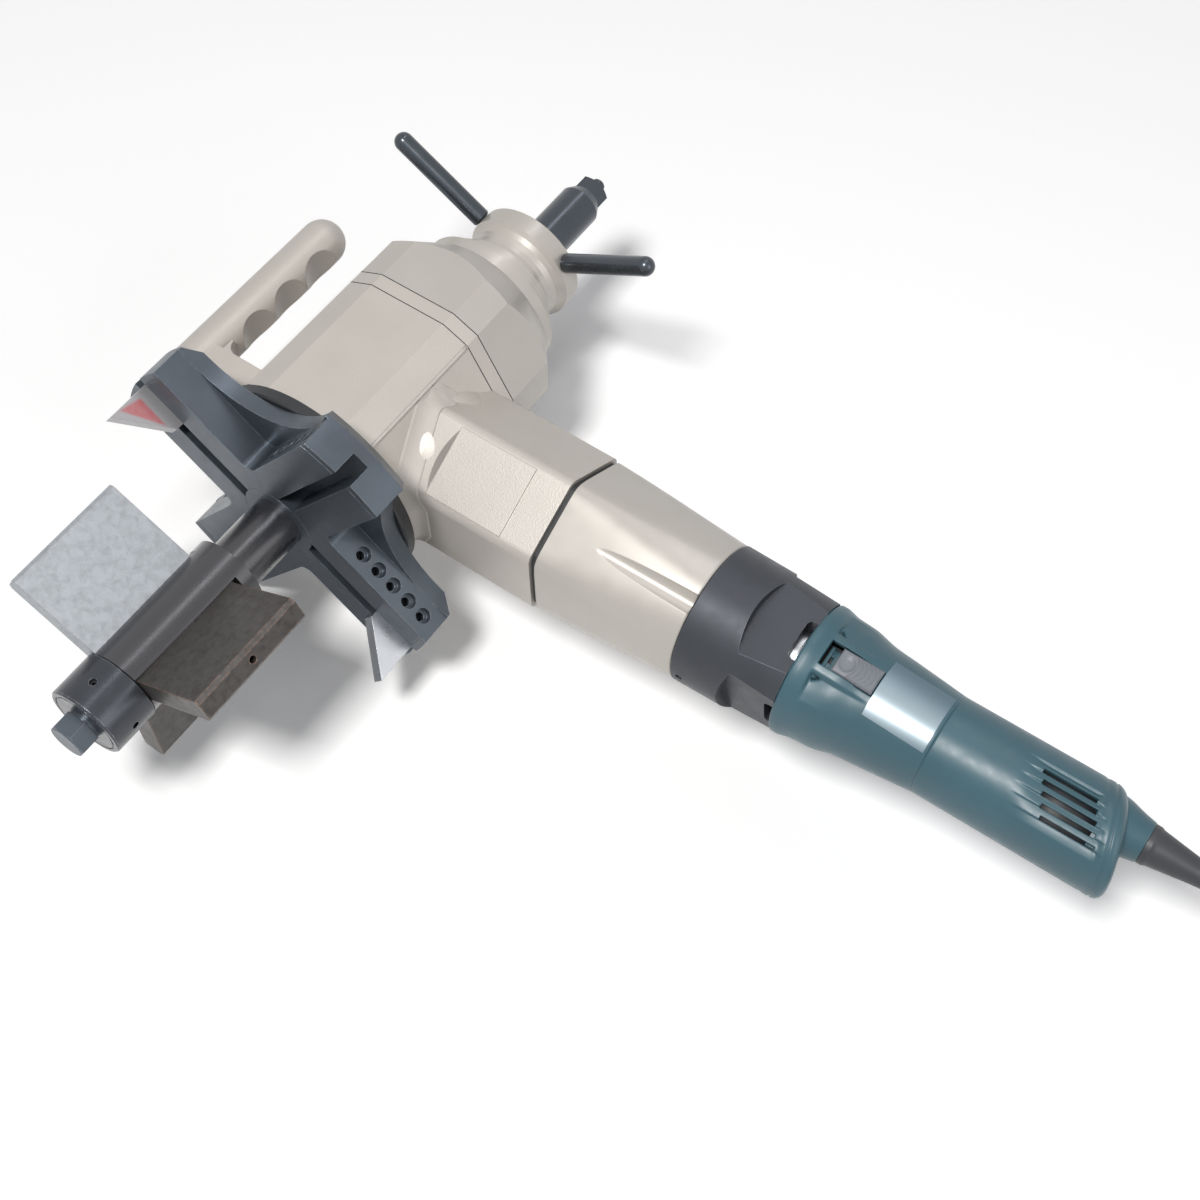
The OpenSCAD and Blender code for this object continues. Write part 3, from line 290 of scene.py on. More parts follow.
def jaw_finish(name, base, dark, rust_share, rough, metallic):
    """Worn jaw steel: fine scratches both ways, faint stains and rust that gathers at the edges."""
    f = Finish(name, rough, metallic)
    stain = f.span(f.noise(150, 6, 0.7, distortion=0.4), 0.36, 0.56)
    colour = f.mix(stain, linear(*dark), linear(*base))
    scratch = f.noise(1, 4, 0.75, f.stretched((70, 900, 900), (0.4, 0.3, 0.5)))
    cross = f.noise(1, 4, 0.75, f.stretched((900, 90, 900), (0.2, 0.6, 0.1)))
    marks = f.math("ADD", f.span(scratch, 0.62, 0.72), f.span(cross, 0.64, 0.74))
    colour = f.mix(f.math("MULTIPLY", marks, 0.3), colour, linear(*base, share=1.4))
    rust = f.math("MULTIPLY", f.edges(0.0016, 0.12), f.span(f.noise(300, 5, 0.7), 0.4, 0.55))
    rust = f.math("MULTIPLY", rust, rust_share)
    f.put("Base Color", f.mix(rust, colour, linear(142, 112, 96)))
    f.put("Roughness", f.span(f.noise(110, 5, 0.7), 0.3, 0.7, rough - 0.06, rough + 0.12))
    f.rounded(0.0006)
    f.bump(f.math("ADD", scratch, cross), 0.1, 0.0002)
    return f.done()


TINT_BLUR = (-0.001, 0.0008)


def bit_finish(name, arm, corners):
    """Bright tool steel with a soft tinted triangle on its side, its corners as (radius, y) in mm."""
    f = Finish(name, 0.3, 0.7)
    arm_x, arm_z = cos_sin(arm)
    inside = None
    for i in range(3):
        (r0, y0), (r1, y1), (r2, y2) = (corners[(i + k) % 3] for k in range(3))
        length = math.hypot(r1 - r0, y1 - y0)
        nr, ny = (y0 - y1) / length, (r1 - r0) / length
        if nr * (r2 - r0) + ny * (y2 - y0) < 0:
            nr, ny = -nr, -ny
        offset = (nr * r0 + ny * y0) / 1000 + ny * MOTOR_Y
        past = f.math("SUBTRACT", f.dot(f.spot, (nr * arm_x, ny, nr * arm_z)), offset)
        depth = f.span(past, *TINT_BLUR)
        inside = depth if inside is None else f.math("MULTIPLY", inside, depth)
    tint = f.math("MULTIPLY", inside, f.span(f.noise(160, 4), 0.3, 0.7, 0.7, 1.0))
    f.put("Base Color", f.mix(tint, linear(168, 166, 168), linear(186, 106, 110)))
    f.rounded(0.0004)
    f.bump(f.noise(900, 3), 0.06, 0.0002)
    return f.done()


LABEL_X = (0.3918, 0.4382)
LABEL_ARC = (58.5, 136.5)
HIGHLIGHT_RISE = (66, 112)
HIGHLIGHT_FALL = (136, 119)


def label_finish():
    """Bare foil: a painted highlight, a soft bright band along the barrel, inside a thin teal border."""
    f = Finish("label_foil_painted_highlight", 0.3, 0.3)
    parts = f.add("SeparateXYZ", None, {0: f.spot})
    x = parts.outputs["X"]
    y = f.math("SUBTRACT", parts.outputs["Y"], MOTOR_Y)
    angle = f.math("MULTIPLY", f.math("ARCTAN2", parts.outputs["Z"], y), 180 / math.pi)
    # Painted highlight: the foil's colour brightens in a band between these angles round the barrel
    rise = f.math("POWER", f.span(angle, *HIGHLIGHT_RISE), 1.6)
    fall = f.math("POWER", f.span(angle, *HIGHLIGHT_FALL), 0.8)
    colour = f.mix(f.math("MULTIPLY", rise, fall), linear(92, 116, 128), linear(172, 186, 194))
    border = 0.0
    for value, (low, high) in ((x, LABEL_X), (angle, LABEL_ARC)):
        border = f.math("MAXIMUM", border, f.math("LESS_THAN", value, low))
        border = f.math("MAXIMUM", border, f.math("GREATER_THAN", value, high))
    f.put("Base Color", f.mix(border, colour, linear(72, 108, 118)))
    f.bump(f.noise(1400, 2), 0.03, 0.0002)
    return f.done()


GRAIN = paint("grained_paint", (192, 186, 179), 0.42, 0.3, 900, 0.4)
SATIN = paint("satin_paint", (186, 181, 174), 0.36, 0.3, 1600, 0.06, radius=None)
ROOT_PAINT = paint("matt_paint", (196, 190, 183), 0.62, 0.0, 900, 0.4, radius=None)
# Painted shade: darker paint for the scoop at the pad's root end
PAD_SHADE = paint("pad_painted_shade", (132, 126, 121), 0.5, 0.15, 900, 0.3, radius=None)
BLUED = steel("blued_steel", (86, 93, 101), 0.34, 0.75, edge=(124, 132, 140), patches=0.06,
              brush=(900, 40, 900), brushed=0.04)
BLACK = steel("black_tube", (38, 38, 43), 0.26, 0.3, patches=0.04, brush=(60, 1400, 60), brushed=0.02,
              radius=None, coat=1.0)
COLLAR = steel("blackened_collar", (58, 61, 67), 0.26, 0.7, edge=(140, 144, 150), patches=0.08,
               brush=(60, 1400, 60), brushed=0.05, coat=0.3)
BRIGHT = steel("bright_steel", (178, 180, 184), 0.28, patches=0.05, brush=(60, 1600, 60), brushed=0.05)
LEVER = steel("lever_steel", (64, 70, 77), 0.24, 0.7, patches=0.04, radius=None, coat=0.3)
SCREW = steel("screw_steel", (38, 38, 41), 0.4, 0.8, edge=(90, 90, 94))
ADAPTER = steel("blackened_adapter", (60, 63, 69), 0.44, 0.4, edge=(96, 100, 106), patches=0.06)
BRONZE = steel("bronze", (186, 146, 92), 0.35)
COPPER = steel("copper", (190, 120, 78), 0.3)
TEAL = plastic("motor_plastic", (56, 90, 101), 0.38)
GREY = plastic("slider_plastic", (120, 124, 131), 0.42)
RUBBER = plastic("black_rubber", (34, 35, 38), 0.5, 900, 0.2)
CORD = plastic("cord_rubber", (52, 54, 59), 0.46, 1200, 0.12)
JAW_LIGHT = jaw_finish("light_jaw", (166, 170, 175), (150, 154, 158), 0.2, 0.42, 0.6)
JAW_DARK = jaw_finish("dark_jaw", (80, 77, 75), (66, 62, 60), 0.9, 0.38, 0.6)
BIT_RED = bit_finish("tinted_bit", 142, [(120, -127), (117, -111.5), (94, -112)])
LABEL = label_finish()

PLAN = (
    (GRAIN, "housing_body flange_ring"),
    (SATIN, "rear_cover arm_nose bearing_plate feed_hub"),
    (BLUED, "tool_head guide_sleeve front_plug"),
    (BLACK, "mandrel_tube stator armature"),
    (COLLAR, "front_collar"),
    (BRIGHT, "wedge_core guide_key spindle_bearing_outers spindle_bearing_balls spindle_bearing_inners "
             "ring_gear shaft_bearings spindle_sleeve crown_gear pinion_carrier planet_gear_1 "
             "planet_gear_2 planet_gear_3 sun_shaft motor_neck tool_bit_b"),
    (BIT_RED, "tool_bit_a"),
    (LEVER, "feed_lever_1 feed_lever_2 feed_lever_3 tension_nut draw_rod"),
    (SCREW, "collar_screws case_screws set_screws adapter_screws"),
    (ADAPTER, "adapter_collar"),
    (JAW_LIGHT, "jaw_1"),
    (JAW_DARK, "jaw_2 jaw_3"),
    (TEAL, "motor_front_housing motor_rear_housing cord_clamp"),
    (GREY, "switch_slider"),
    (LABEL, "label_plate"),
    (RUBBER, "dust_ring arm_seal_ring fan"),
    (CORD, "strain_relief plug"),
    (BRONZE, "thrust_washer hub_bush brush_holders"),
    (COPPER, "commutator"),
)


def dress(obj, material):
    """Gives an object one material."""
    obj.data.materials.clear()
    obj.data.materials.append(material)


for material, names in PLAN:
    for name in names.split():
        dress(NODES[name], material)
dress(cord, CORD)


# Helpers for the fine forms
def ordered_mesh(name, points, faces, merge):
    """A mesh from points in millimetres, its faces turned outward."""
    mesh = bpy.data.meshes.new(name)
    mesh.from_pydata([place(*p) for p in points], [], faces)
    mesh.validate()
    bm = bmesh.new()
    bm.from_mesh(mesh)
    if merge:
        bmesh.ops.remove_doubles(bm, verts=bm.verts, dist=1e-6)
    bmesh.ops.recalc_face_normals(bm, faces=bm.faces)
    bm.to_mesh(mesh)
    bm.free()
    return mesh


def piece(name, points, faces, material, slot, body="housing", smooth=True):
    """A form of this script's own that rides on a body."""
    mesh = ordered_mesh(name, points, faces, merge=True)
    mesh.polygons.foreach_set("use_smooth", [smooth] * len(mesh.polygons))
    obj = linked(name, mesh)
    dress(obj, material)
    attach(obj, body)
    return obj


def tool(points, faces):
    """A body that cuts another."""
    return linked("cutter", ordered_mesh("cutter", points, faces, merge=False))


def cut_by(obj, cutters):
    """Cuts a piece by bodies, which then go."""
    for cutter in cutters:
        change = obj.modifiers.new("cut", "BOOLEAN")
        change.operation = "DIFFERENCE"
        change.solver = "EXACT"
        change.object = cutter
    graph = bpy.context.evaluated_depsgraph_get()
    made = bpy.data.meshes.new_from_object(obj.evaluated_get(graph))
    obj.modifiers.clear()
    obj.data = made
    for cutter in cutters:
        bpy.data.objects.remove(cutter)


def skin(rows, loop_u=False, loop_v=False):
    """Points and quads of a grid of rows, closed from the last row to the first or round each row."""
    nu, nv = len(rows), len(rows[0])
    points = [p for row in rows for p in row]
    faces = []
    for i in range(nu if loop_u else nu - 1):
        for j in range(nv if loop_v else nv - 1):
            a, b = i * nv + j, i * nv + (j + 1) % nv
            c, d = ((i + 1) % nu) * nv + (j + 1) % nv, ((i + 1) % nu) * nv + j
            faces.append((a, b, c, d))
    return points, faces


def closed(rows):
    """A skin that closes both ways, like a ring."""
    return skin(rows, loop_u=True, loop_v=True)


def capped(rows):
    """A skin round each row, with a face on the first row and on the last."""
    points, faces = skin(rows, loop_v=True)
    count = len(rows[0])
    last = len(points) - count
    return points, faces + [tuple(range(count)), tuple(reversed(range(last, last + count)))]


def joined(parts):
    """Several bodies as one."""
    points, faces = [], []
    for more_points, more_faces in parts:
        base = len(points)
        points += more_points
        faces += [tuple(base + i for i in face) for face in more_faces]
    return points, faces


def polar_box(x0, x1, phi, half_w, r0, r1):
    """A box on the motor's axis at an angle: along x, across half_w each way, from r0 to r1."""
    corners = ((x0, -half_w), (x1, -half_w), (x1, half_w), (x0, half_w))
    points = [polar(x, r, phi, w) for r in (r0, r1) for x, w in corners]
    sides = [(i, (i + 1) % 4, 4 + (i + 1) % 4, 4 + i) for i in range(4)]
    return points, sides + [(3, 2, 1, 0), (4, 5, 6, 7)]


def round_skin(xs, phis, radius, wall):
    """A shell along the motor's axis: its outside varies with x and angle, its bore is round."""
    rows = [[polar(x, radius(x, phi), phi) for phi in phis] for x in xs]
    for x in (xs[-1], xs[0]):
        bore = min(radius(x, phi) for phi in phis) - wall
        rows.append([polar(x, bore, phi) for phi in phis])
    return closed(rows)


def step(low, high, x):
    """Zero below low, one above high, and smooth between."""
    t = min(1.0, max(0.0, (x - low) / (high - low)))
    return t * t * (3 - 2 * t)


def eased(points, x):
    """Smooth curve through points that rise in x, without overshoot."""
    slopes = [(y1 - y0) / (x1 - x0) for (x0, y0), (x1, y1) in zip(points, points[1:])]
    tangents = [slopes[0]]
    for before, after in zip(slopes, slopes[1:]):
        tangents.append(0.0 if before * after <= 0 else 2 * before * after / (before + after))
    tangents.append(slopes[-1])
    last = len(points) - 2
    i = next((i for i in range(last) if x <= points[i + 1][0]), last)
    (x0, y0), (x1, y1) = points[i], points[i + 1]
    h = x1 - x0
    t = min(1.0, max(0.0, (x - x0) / h))
    return ((1 + 2 * t) * (1 - t) ** 2 * y0 + t * (1 - t) ** 2 * h * tangents[i]
            + t * t * (3 - 2 * t) * y1 + t * t * (t - 1) * h * tangents[i + 1])


# The housing's section, as half widths at heights, and the arm's rounded hexagon
CASE_W = 75.0
CASE_H = 14.0
SHOULDER_W = 49.0
SHOULDER_H = 64.0
TOP_W = 30.0
TOP_H = 73.0
SEAM_Y = 46.0
COVER_SEAM_Y = 57.0
ARM_FLAT = 49.1
ARM_ROUND = 8.0
ARM_CORNER = (ARM_FLAT - ARM_ROUND) / math.cos(math.radians(30))


def case_side(z):
    """Half width of the housing's section at a height."""
    z = abs(z)
    if z < CASE_H:
        return CASE_W
    if z < SHOULDER_H:
        return CASE_W - (CASE_W - SHOULDER_W) * (z - CASE_H) / (SHOULDER_H - CASE_H)
    return SHOULDER_W - (SHOULDER_W - TOP_W) * (z - SHOULDER_H) / (TOP_H - SHOULDER_H)


def arm_point(phi):
    """Point and outward direction of the arm's rounded hexagon, as (y, z) pairs."""
    c, s = cos_sin(phi)
    flat = 60 * round(phi / 60)
    off = math.radians(phi - flat)
    if abs(math.tan(off)) * ARM_FLAT <= ARM_CORNER / 2:
        r = ARM_FLAT / math.cos(off)
        return (r * c, r * s), cos_sin(flat)
    to_corner = math.radians(30) - abs(off)
    half_chord = math.sqrt(ARM_ROUND ** 2 - (ARM_CORNER * math.sin(to_corner)) ** 2)
    r = ARM_CORNER * math.cos(to_corner) + half_chord
    y, z = r * c, r * s
    corner_c, corner_s = cos_sin(flat + math.copysign(30, off))
    return (y, z), ((y - ARM_CORNER * corner_c) / ARM_ROUND, (z - ARM_CORNER * corner_s) / ARM_ROUND)


# Fillet between the housing and the arm's root, thinning out at both ends
ROOT_R = 10.0
ROOT_FROM = 62
ROOT_TO = 290
ROOT_FADE = 16
ROOT_THIN = 0.03
ROOT_STEPS = 8
ROOT_TUCK = 0.05
ROOT_BACK = 0.6
ROOT_SUNK = 1.5


def root_section(phi):
    """The fillet's section at an angle: a curve from the arm to the housing, closed inside both."""
    fade = min(1.0, (phi - ROOT_FROM) / ROOT_FADE, (ROOT_TO - phi) / ROOT_FADE)
    reach = ROOT_R * (ROOT_THIN + (1 - ROOT_THIN) * fade)
    (y, z), (ny, nz) = arm_point(phi)
    c, s = cos_sin(phi)
    ny, nz = ny + c, nz + s
    size = math.hypot(ny, nz)
    ny, nz = ny / size, nz / size
    far_y, far_z = y + reach * ny, z + reach * nz
    on_arm = (case_side(z) + reach, y, z)
    corner = (case_side(z), y, z)
    on_case = (case_side(far_z), far_y, far_z)
    row = [(on_arm[0], y - ROOT_TUCK * ny, z - ROOT_TUCK * nz)]
    for j in range(1, ROOT_STEPS + 1):
        t = j / ROOT_STEPS
        row.append(tuple((1 - t) ** 2 * a + 2 * t * (1 - t) * b + t * t * c
                         for a, b, c in zip(on_arm, corner, on_case)))
    row.append((on_case[0] - ROOT_BACK, far_y, far_z))
    row.append((corner[0] - ROOT_SUNK, y - ROOT_SUNK * ny, z - ROOT_SUNK * nz))
    return row


piece("arm_root_fillet", *capped([root_section(phi) for phi in range(ROOT_FROM, ROOT_TO + 1)]),
      ROOT_PAINT, "silver_paint")

# Scooped face at the root end of the arm's machined pad, painted darker than the housing as painted shade
# in the step
PAD_ANGLE = 120
PAD_X = 82.2
PAD_HALF_W = 23.5
PAD_BULGE = 5.4
PAD_RIM_H = 49.55
PAD_FLOOR_H = 49.3
PAD_DEPTH = 1.5
PAD_STEPS = 24


def pad_section(k):
    """The scoop's section at one of its stations across the pad."""
    w = -PAD_HALF_W + 2 * PAD_HALF_W * k / PAD_STEPS
    rim_x = PAD_X - PAD_BULGE * (1 - (w / PAD_HALF_W) ** 2)
    corners = ((rim_x, PAD_RIM_H), (PAD_X, PAD_FLOOR_H),
               (PAD_X, PAD_FLOOR_H - PAD_DEPTH), (rim_x, PAD_RIM_H - PAD_DEPTH))
    return [polar(x, h, PAD_ANGLE, w) for x, h in corners]


piece("pad_scoop", *capped([pad_section(k) for k in range(PAD_STEPS + 1)]), PAD_SHADE, "silver_paint",
      smooth=False)

# Narrow lip along the housing's upper shoulder on the arm's side, up to the first seam
LIP_FROM = -58.0
LIP_STEPS = 20
LIP_HALF_W = 1.9
LIP_H = 1.0
LIP_OUT_X = 0.78
LIP_OUT_Z = 0.62
LIP_SLANT = LIP_OUT_X * LIP_OUT_Z
LIP_POINTS = 8


def lip_section(y):
    """Half an ellipse on the housing's shoulder edge."""
    ring = []
    for j in range(LIP_POINTS + 1):
        t = math.pi * j / LIP_POINTS
        along, up = LIP_HALF_W * math.cos(t), LIP_H * math.sin(t)
        ring.append((SHOULDER_W + LIP_OUT_X * up - LIP_SLANT * along, y,
                     SHOULDER_H + LIP_OUT_Z * up + LIP_SLANT * along))
    return ring


lip_ys = stations(LIP_FROM, LIP_STEPS + 1, (SEAM_Y - LIP_FROM) / LIP_STEPS)
piece("housing_lip", *capped([lip_section(y) for y in lip_ys]), GRAIN, "silver_paint")

# Motor's front housing: a smooth waist with scooped recesses beside the switch
MOTOR_X = 344.0
FRONT_LEN = 94.0
ADAPTER_R = 45.0
BARREL_R = 33.3
WALL = 3.0
FRONT_SHARES = [(0, 0.93), (0.012, 1), (0.045, 1), (0.07, 0.965), (0.14, 0.83), (0.28, 0.744),
                (0.45, 0.444), (0.64, 0.299), (0.83, 0.145), (1, 0)]
SWITCH = 98.0
SLOT_ENDS = (356.5, 393.4)
SLOT_HALF_W = 8.9
SLOT_REACH = (24, 60)
RECESS_X = 355
RECESS_PHI = 19.5
RECESS_DEPTH = 4.6
RECESS_EDGE_X = 2.2
RECESS_EDGE_PHI = 3.0
RECESSES = ((1, 40, 27), (-1, 30, 34))


def front_r(x, phi):
    """The front housing's radius: the waist, less a recess on each side of the switch."""
    r = BARREL_R + (ADAPTER_R - BARREL_R) * eased(FRONT_SHARES, (x - MOTOR_X) / FRONT_LEN)
    for side, reach_x, reach_phi in RECESSES:
        u = x - RECESS_X
        v = side * (phi - SWITCH) - RECESS_PHI
        if u > 0 and v > 0:
            depth = RECESS_DEPTH * step(0, RECESS_EDGE_X, u) * step(0, RECESS_EDGE_PHI, v)
            r -= depth * max(0.0, 1 - u / reach_x) * max(0.0, 1 - v / reach_phi) ** 0.8
    return r


front_xs = [344, 344.6, 345.3] + stations(346, 8) + stations(354, 10, 0.5) + stations(359, 80)
front_phis = stations(0, 240, 1.5)
motor_front = piece("motor_front_shell", *round_skin(front_xs, front_phis, front_r, WALL), TEAL,
                    "motor_plastic")
cut_by(motor_front, [tool(*polar_box(*SLOT_ENDS, SWITCH, SLOT_HALF_W, *SLOT_REACH))])
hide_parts("motor_front_housing")

# Arm's nose: the rounded hexagon runs smoothly into a cone, with a tapering flute
NOSE_X = 170.0
NOSE_LEN = 103.0
NOSE_WALL = 2.0
CONE_R = 55.0
CONE_FALL = 7.0
CONE_BLEND = 8.0
FLUTE = 120.0
FLUTE_R = 8.0
FLUTE_X = 196
FLUTE_ZERO_X = 202
FLUTE_SLOPE = 0.085


def nose_r(x, phi):
    """The nose's radius: hexagon and cone blended where they meet, or the flute's floor."""
    section = math.hypot(*arm_point(phi % 360)[0])
    cone = CONE_R - CONE_FALL * (x - NOSE_X) / NOSE_LEN
    h = min(1.0, max(0.0, 0.5 + (cone - section) / CONE_BLEND))
    r = cone * (1 - h) + section * h - CONE_BLEND / 2 * h * (1 - h)
    c, s = cos_sin(phi - FLUTE)
    w = r * s
    if abs(w) < FLUTE_R and x > FLUTE_X and c > 0:
        axis_h = ARM_FLAT + FLUTE_R - FLUTE_SLOPE * (x - FLUTE_ZERO_X)
        floor_h = axis_h - math.sqrt(FLUTE_R ** 2 - w * w)
        if r * c > floor_h:
            return math.hypot(floor_h, w)
    return r


nose_phis = stations(0, 108) + stations(108, 96, 0.25) + stations(132, 228)
nose_xs = [NOSE_X, NOSE_X + 0.3] + stations(NOSE_X + 1, 68, 1.5) + [NOSE_X + NOSE_LEN]
nose = piece("nose_shell", *round_skin(nose_xs, nose_phis, nose_r, NOSE_WALL), SATIN, "silver_paint")
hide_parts("arm_nose")

# What shows in the slot in front of the slider. Each block has two ends, a turn from the switch,
# a half width and a top
CATCH_R = 30
CATCH = ((357.2, 359.4, 0, 8.2, 33.2), (359.4, 364.4, 8.5, 2.2, 33.1),
         (361.6, 363.6, -1, 6.5, 32.8), (359.4, 361.6, -8, 2.4, 33.0))
SLOT_FLOOR = (355, 395, SWITCH, 10, 28.5, 30.5)
blocks = [polar_box(x0, x1, SWITCH + off, half_w, CATCH_R, top) for x0, x1, off, half_w, top in CATCH]
piece("slot_catch", *joined(blocks), TEAL, "motor_plastic", smooth=False)
piece("slot_floor", *polar_box(*SLOT_FLOOR), RUBBER, "black_plastic", smooth=False)

# Slider with a thumb dimple and curved ridges
SLIDER_X = 365.0
SLIDER_LEN = 28.0
SLIDER_HALF_W = 8.4
SLIDER_TOP = 41.8
SLIDER_DEPTH = 6.2
SLIDER_CROWN = 0.011
SLIDER_FALL = 0.05
SLIDER_EDGE = 0.9
DIMPLE_U = 6.6
DIMPLE_R = 5.2
DIMPLE_DEPTH = 1.5
RIDGE_U = 13.0
RIDGE_BOW = 0.055
RIDGE_PITCH = 3.1
RIDGE_H = 1.3
NX = 84
NW = 34


def slider_h(u, w):
    """Height of the slider's top, u along it and w across."""
    edge = min(u, SLIDER_LEN - u, SLIDER_HALF_W - abs(w))
    h = SLIDER_TOP - SLIDER_CROWN * w * w - SLIDER_FALL * u
    h -= SLIDER_EDGE * (1 - step(0, 1.0, edge))
    d = math.hypot(u - DIMPLE_U, w) / DIMPLE_R
    if d < 1:
        h -= DIMPLE_DEPTH * math.sqrt(1 - d * d)
    bow = u - RIDGE_U + RIDGE_BOW * w * w
    if bow > 0 and edge > 0.3:
        past = bow % RIDGE_PITCH
        h += RIDGE_H * (1 - past / RIDGE_PITCH) * step(0, 0.5, past) * step(0, 1.2, edge)
    return h


def slider_point(i, j, drop=0.0):
    """A point of the slider's grid, or one dropped to its lower rim."""
    u = SLIDER_LEN * i / NX
    w = -SLIDER_HALF_W + 2 * SLIDER_HALF_W * j / NW
    return polar(SLIDER_X + u, slider_h(u, w) - drop, SWITCH, w)


top_points, top_faces = skin([[slider_point(i, j) for j in range(NW + 1)] for i in range(NX + 1)])
rim = [(0, j) for j in range(NW + 1)] + [(i, NW) for i in range(1, NX + 1)] \
    + [(NX, j) for j in range(NW - 1, -1, -1)] + [(i, 0) for i in range(NX - 1, 0, -1)]
upper = [i * (NW + 1) + j for i, j in rim]
lower = [len(top_points) + k for k in range(len(rim))]
side_faces = [(upper[k - 1], upper[k], lower[k], lower[k - 1]) for k in range(len(rim))]
slider = piece("switch_cap", top_points + [slider_point(i, j, SLIDER_DEPTH) for i, j in rim],
               top_faces + side_faces + [tuple(lower)], GREY, "grey_plastic", body="switch_slider")
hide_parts("switch_slider")

# Motor's rear housing: louvred grooves, air slots and a rounded slanted end
REAR_X = MOTOR_X + FRONT_LEN
END_X = 556.0
END_SLOPE = math.tan(math.radians(17))
END_ROUND = 8.0
END_LAND = 1.0
END_SEAM = 0.55
END_SEAM_BACK = 0.6
BORE_END_R = 20.5
BORE_END_BACK = 12.0
BORE_STEP_X = 536
GROOVE_BACK = 5.0
GROOVE_W = 1.1
GROOVE_DEPTH = 0.5
AIR_PITCH = 11.6
AIR_SLOTS = stations(85, 5, AIR_PITCH)
AIR_X = 500.5
AIR_STEP = 2.9
AIR_LEN = 34.6
AIR_HALF_W = 1.5
AIR_REACH = (27, 40)
LOUVRES = stations(76, 6, AIR_PITCH)
LOUVRE_X = 484
LOUVRE_STEP = 1.4
LOUVRE_DEPTH = 1.6
LOUVRE_RISE = 20
LOUVRE_FALL = 6
LOUVRE_LIP = 1.2
LOUVRE_W = 9.5
BOTH_SIDES = (0, 180)


def louvre_r(x, phi):
    """Barrel radius with tapered grooves that deepen toward the slots, on both sides."""
    for side in BOTH_SIDES:
        for k, centre in enumerate(LOUVRES):
            v = phi - centre - side
            tip = LOUVRE_X + LOUVRE_STEP * k
            tail = AIR_X + AIR_STEP * (k - 1) + AIR_LEN + 1
            depth = LOUVRE_DEPTH * step(tip, tip + LOUVRE_RISE, x) * (1 - step(tail, tail + LOUVRE_FALL, x))
            if -LOUVRE_LIP < v <= 0:
                return BARREL_R - depth * (1 + v / LOUVRE_LIP)
            if 0 < v < LOUVRE_W:
                return BARREL_R - depth * (1 - v / LOUVRE_W)
    return BARREL_R


def end_point(r, phi, back):
    """A point at a radius, a distance in front of the slanted end."""
    return polar(END_X - r * cos_sin(phi)[0] * END_SLOPE - back, r, phi)


def rear_point(along, phi):
    """Point of the rear shell: along runs to one over the barrel, and to two round its end."""
    if along <= 1:
        far = end_point(BARREL_R, phi, END_ROUND + END_LAND)[0]
        x = REAR_X + along * (far - REAR_X)
        groove = GROOVE_DEPTH * math.exp(-((far - x - GROOVE_BACK) / GROOVE_W) ** 2)
        return polar(x, louvre_r(x, phi) - groove, phi)
    t = min(1.0, along - 1)
    c, s = cos_sin(90 * t)
    r = BARREL_R - END_ROUND * (1 - c) - (END_SEAM if t < 0.08 else 0.0)
    return end_point(r, phi, END_ROUND * (1 - s) + (END_SEAM_BACK if t < 0.02 else 0.0))


rear_phis = stations(0, 450, 0.8)
alongs = [k / 80 for k in range(81)] + [1.001, 1.03] + [1.081 + 0.919 * k / 14 for k in range(15)]
rows = [[rear_point(along, phi) for phi in rear_phis] for along in alongs]
rows.append([end_point(BORE_END_R, phi, BORE_END_BACK) for phi in rear_phis])
rows.append([polar(BORE_STEP_X, BARREL_R - WALL, phi) for phi in rear_phis])
rows.append([polar(REAR_X, BARREL_R - WALL, phi) for phi in rear_phis])
motor_rear = piece("motor_rear_shell", *closed(rows), TEAL, "motor_plastic")
slot_tools = []
for k, phi in enumerate(AIR_SLOTS):
    start = AIR_X + AIR_STEP * k
    for side in BOTH_SIDES:
        slot_tools.append(tool(*polar_box(start, start + AIR_LEN, phi + side, AIR_HALF_W, *AIR_REACH)))
cut_by(motor_rear, slot_tools)
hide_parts("motor_rear_housing")

# Plate that closes the slanted end
PLATE_R = BARREL_R - END_ROUND + 0.1
PLATE_BACK = 1.2
PLATE_T = 3.0
plate_rows = [[end_point(PLATE_R, phi, back) for phi in stations(0, 30, 12)]
              for back in (PLATE_BACK, PLATE_BACK + PLATE_T)]
piece("motor_end_plate", *capped(plate_rows), TEAL, "motor_plastic", smooth=False)

# Black sleeve behind the air slots, a painted shade for the dark inside them
SHADE_SLEEVE_ENDS = (492, 541)
SHADE_SLEEVE_R = 29.2
SHADE_SLEEVE_WALL = 0.8
round_phis = stations(0, 72, 5)
piece("vent_shade_sleeve", *round_skin(SHADE_SLEEVE_ENDS, round_phis, lambda x, phi: SHADE_SLEEVE_R, SHADE_SLEEVE_WALL),
      RUBBER, "black_plastic")

# The cord's holder, which flares into the housing, as a radius at each x
BOSS = ((540, 18.6), (549, 18.4), (553, 17.6), (558, 16.1), (563, 14.8), (568.6, 13.7), (569.6, 13.4),
        (570, 12.8))
spokes = [cos_sin(phi) for phi in round_phis]
holder = piece("cord_boss", *capped([[(x, CORD_Y + r * c, r * s) for c, s in spokes] for x, r in BOSS]),
               TEAL, "motor_plastic")
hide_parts("cord_clamp")

# Dark bands at the housing's two seams, painted shade for the grooves there, as shares of its section
SEAM_SHADE_HALF = 0.32
SEAM_SHADE_OUT = 1.0012
SEAM_SHADE_IN = 0.985
SEAM_SHADE = ((-SEAM_SHADE_HALF, SEAM_SHADE_OUT), (SEAM_SHADE_HALF, SEAM_SHADE_OUT),
          (SEAM_SHADE_HALF, SEAM_SHADE_IN), (-SEAM_SHADE_HALF, SEAM_SHADE_IN))
quarter = [(CASE_W, CASE_H), (SHOULDER_W, SHOULDER_H), (TOP_W, TOP_H)]
upper_half = quarter + [(-x, z) for x, z in reversed(quarter)]
case_outline = upper_half + [(-x, -z) for x, z in upper_half]
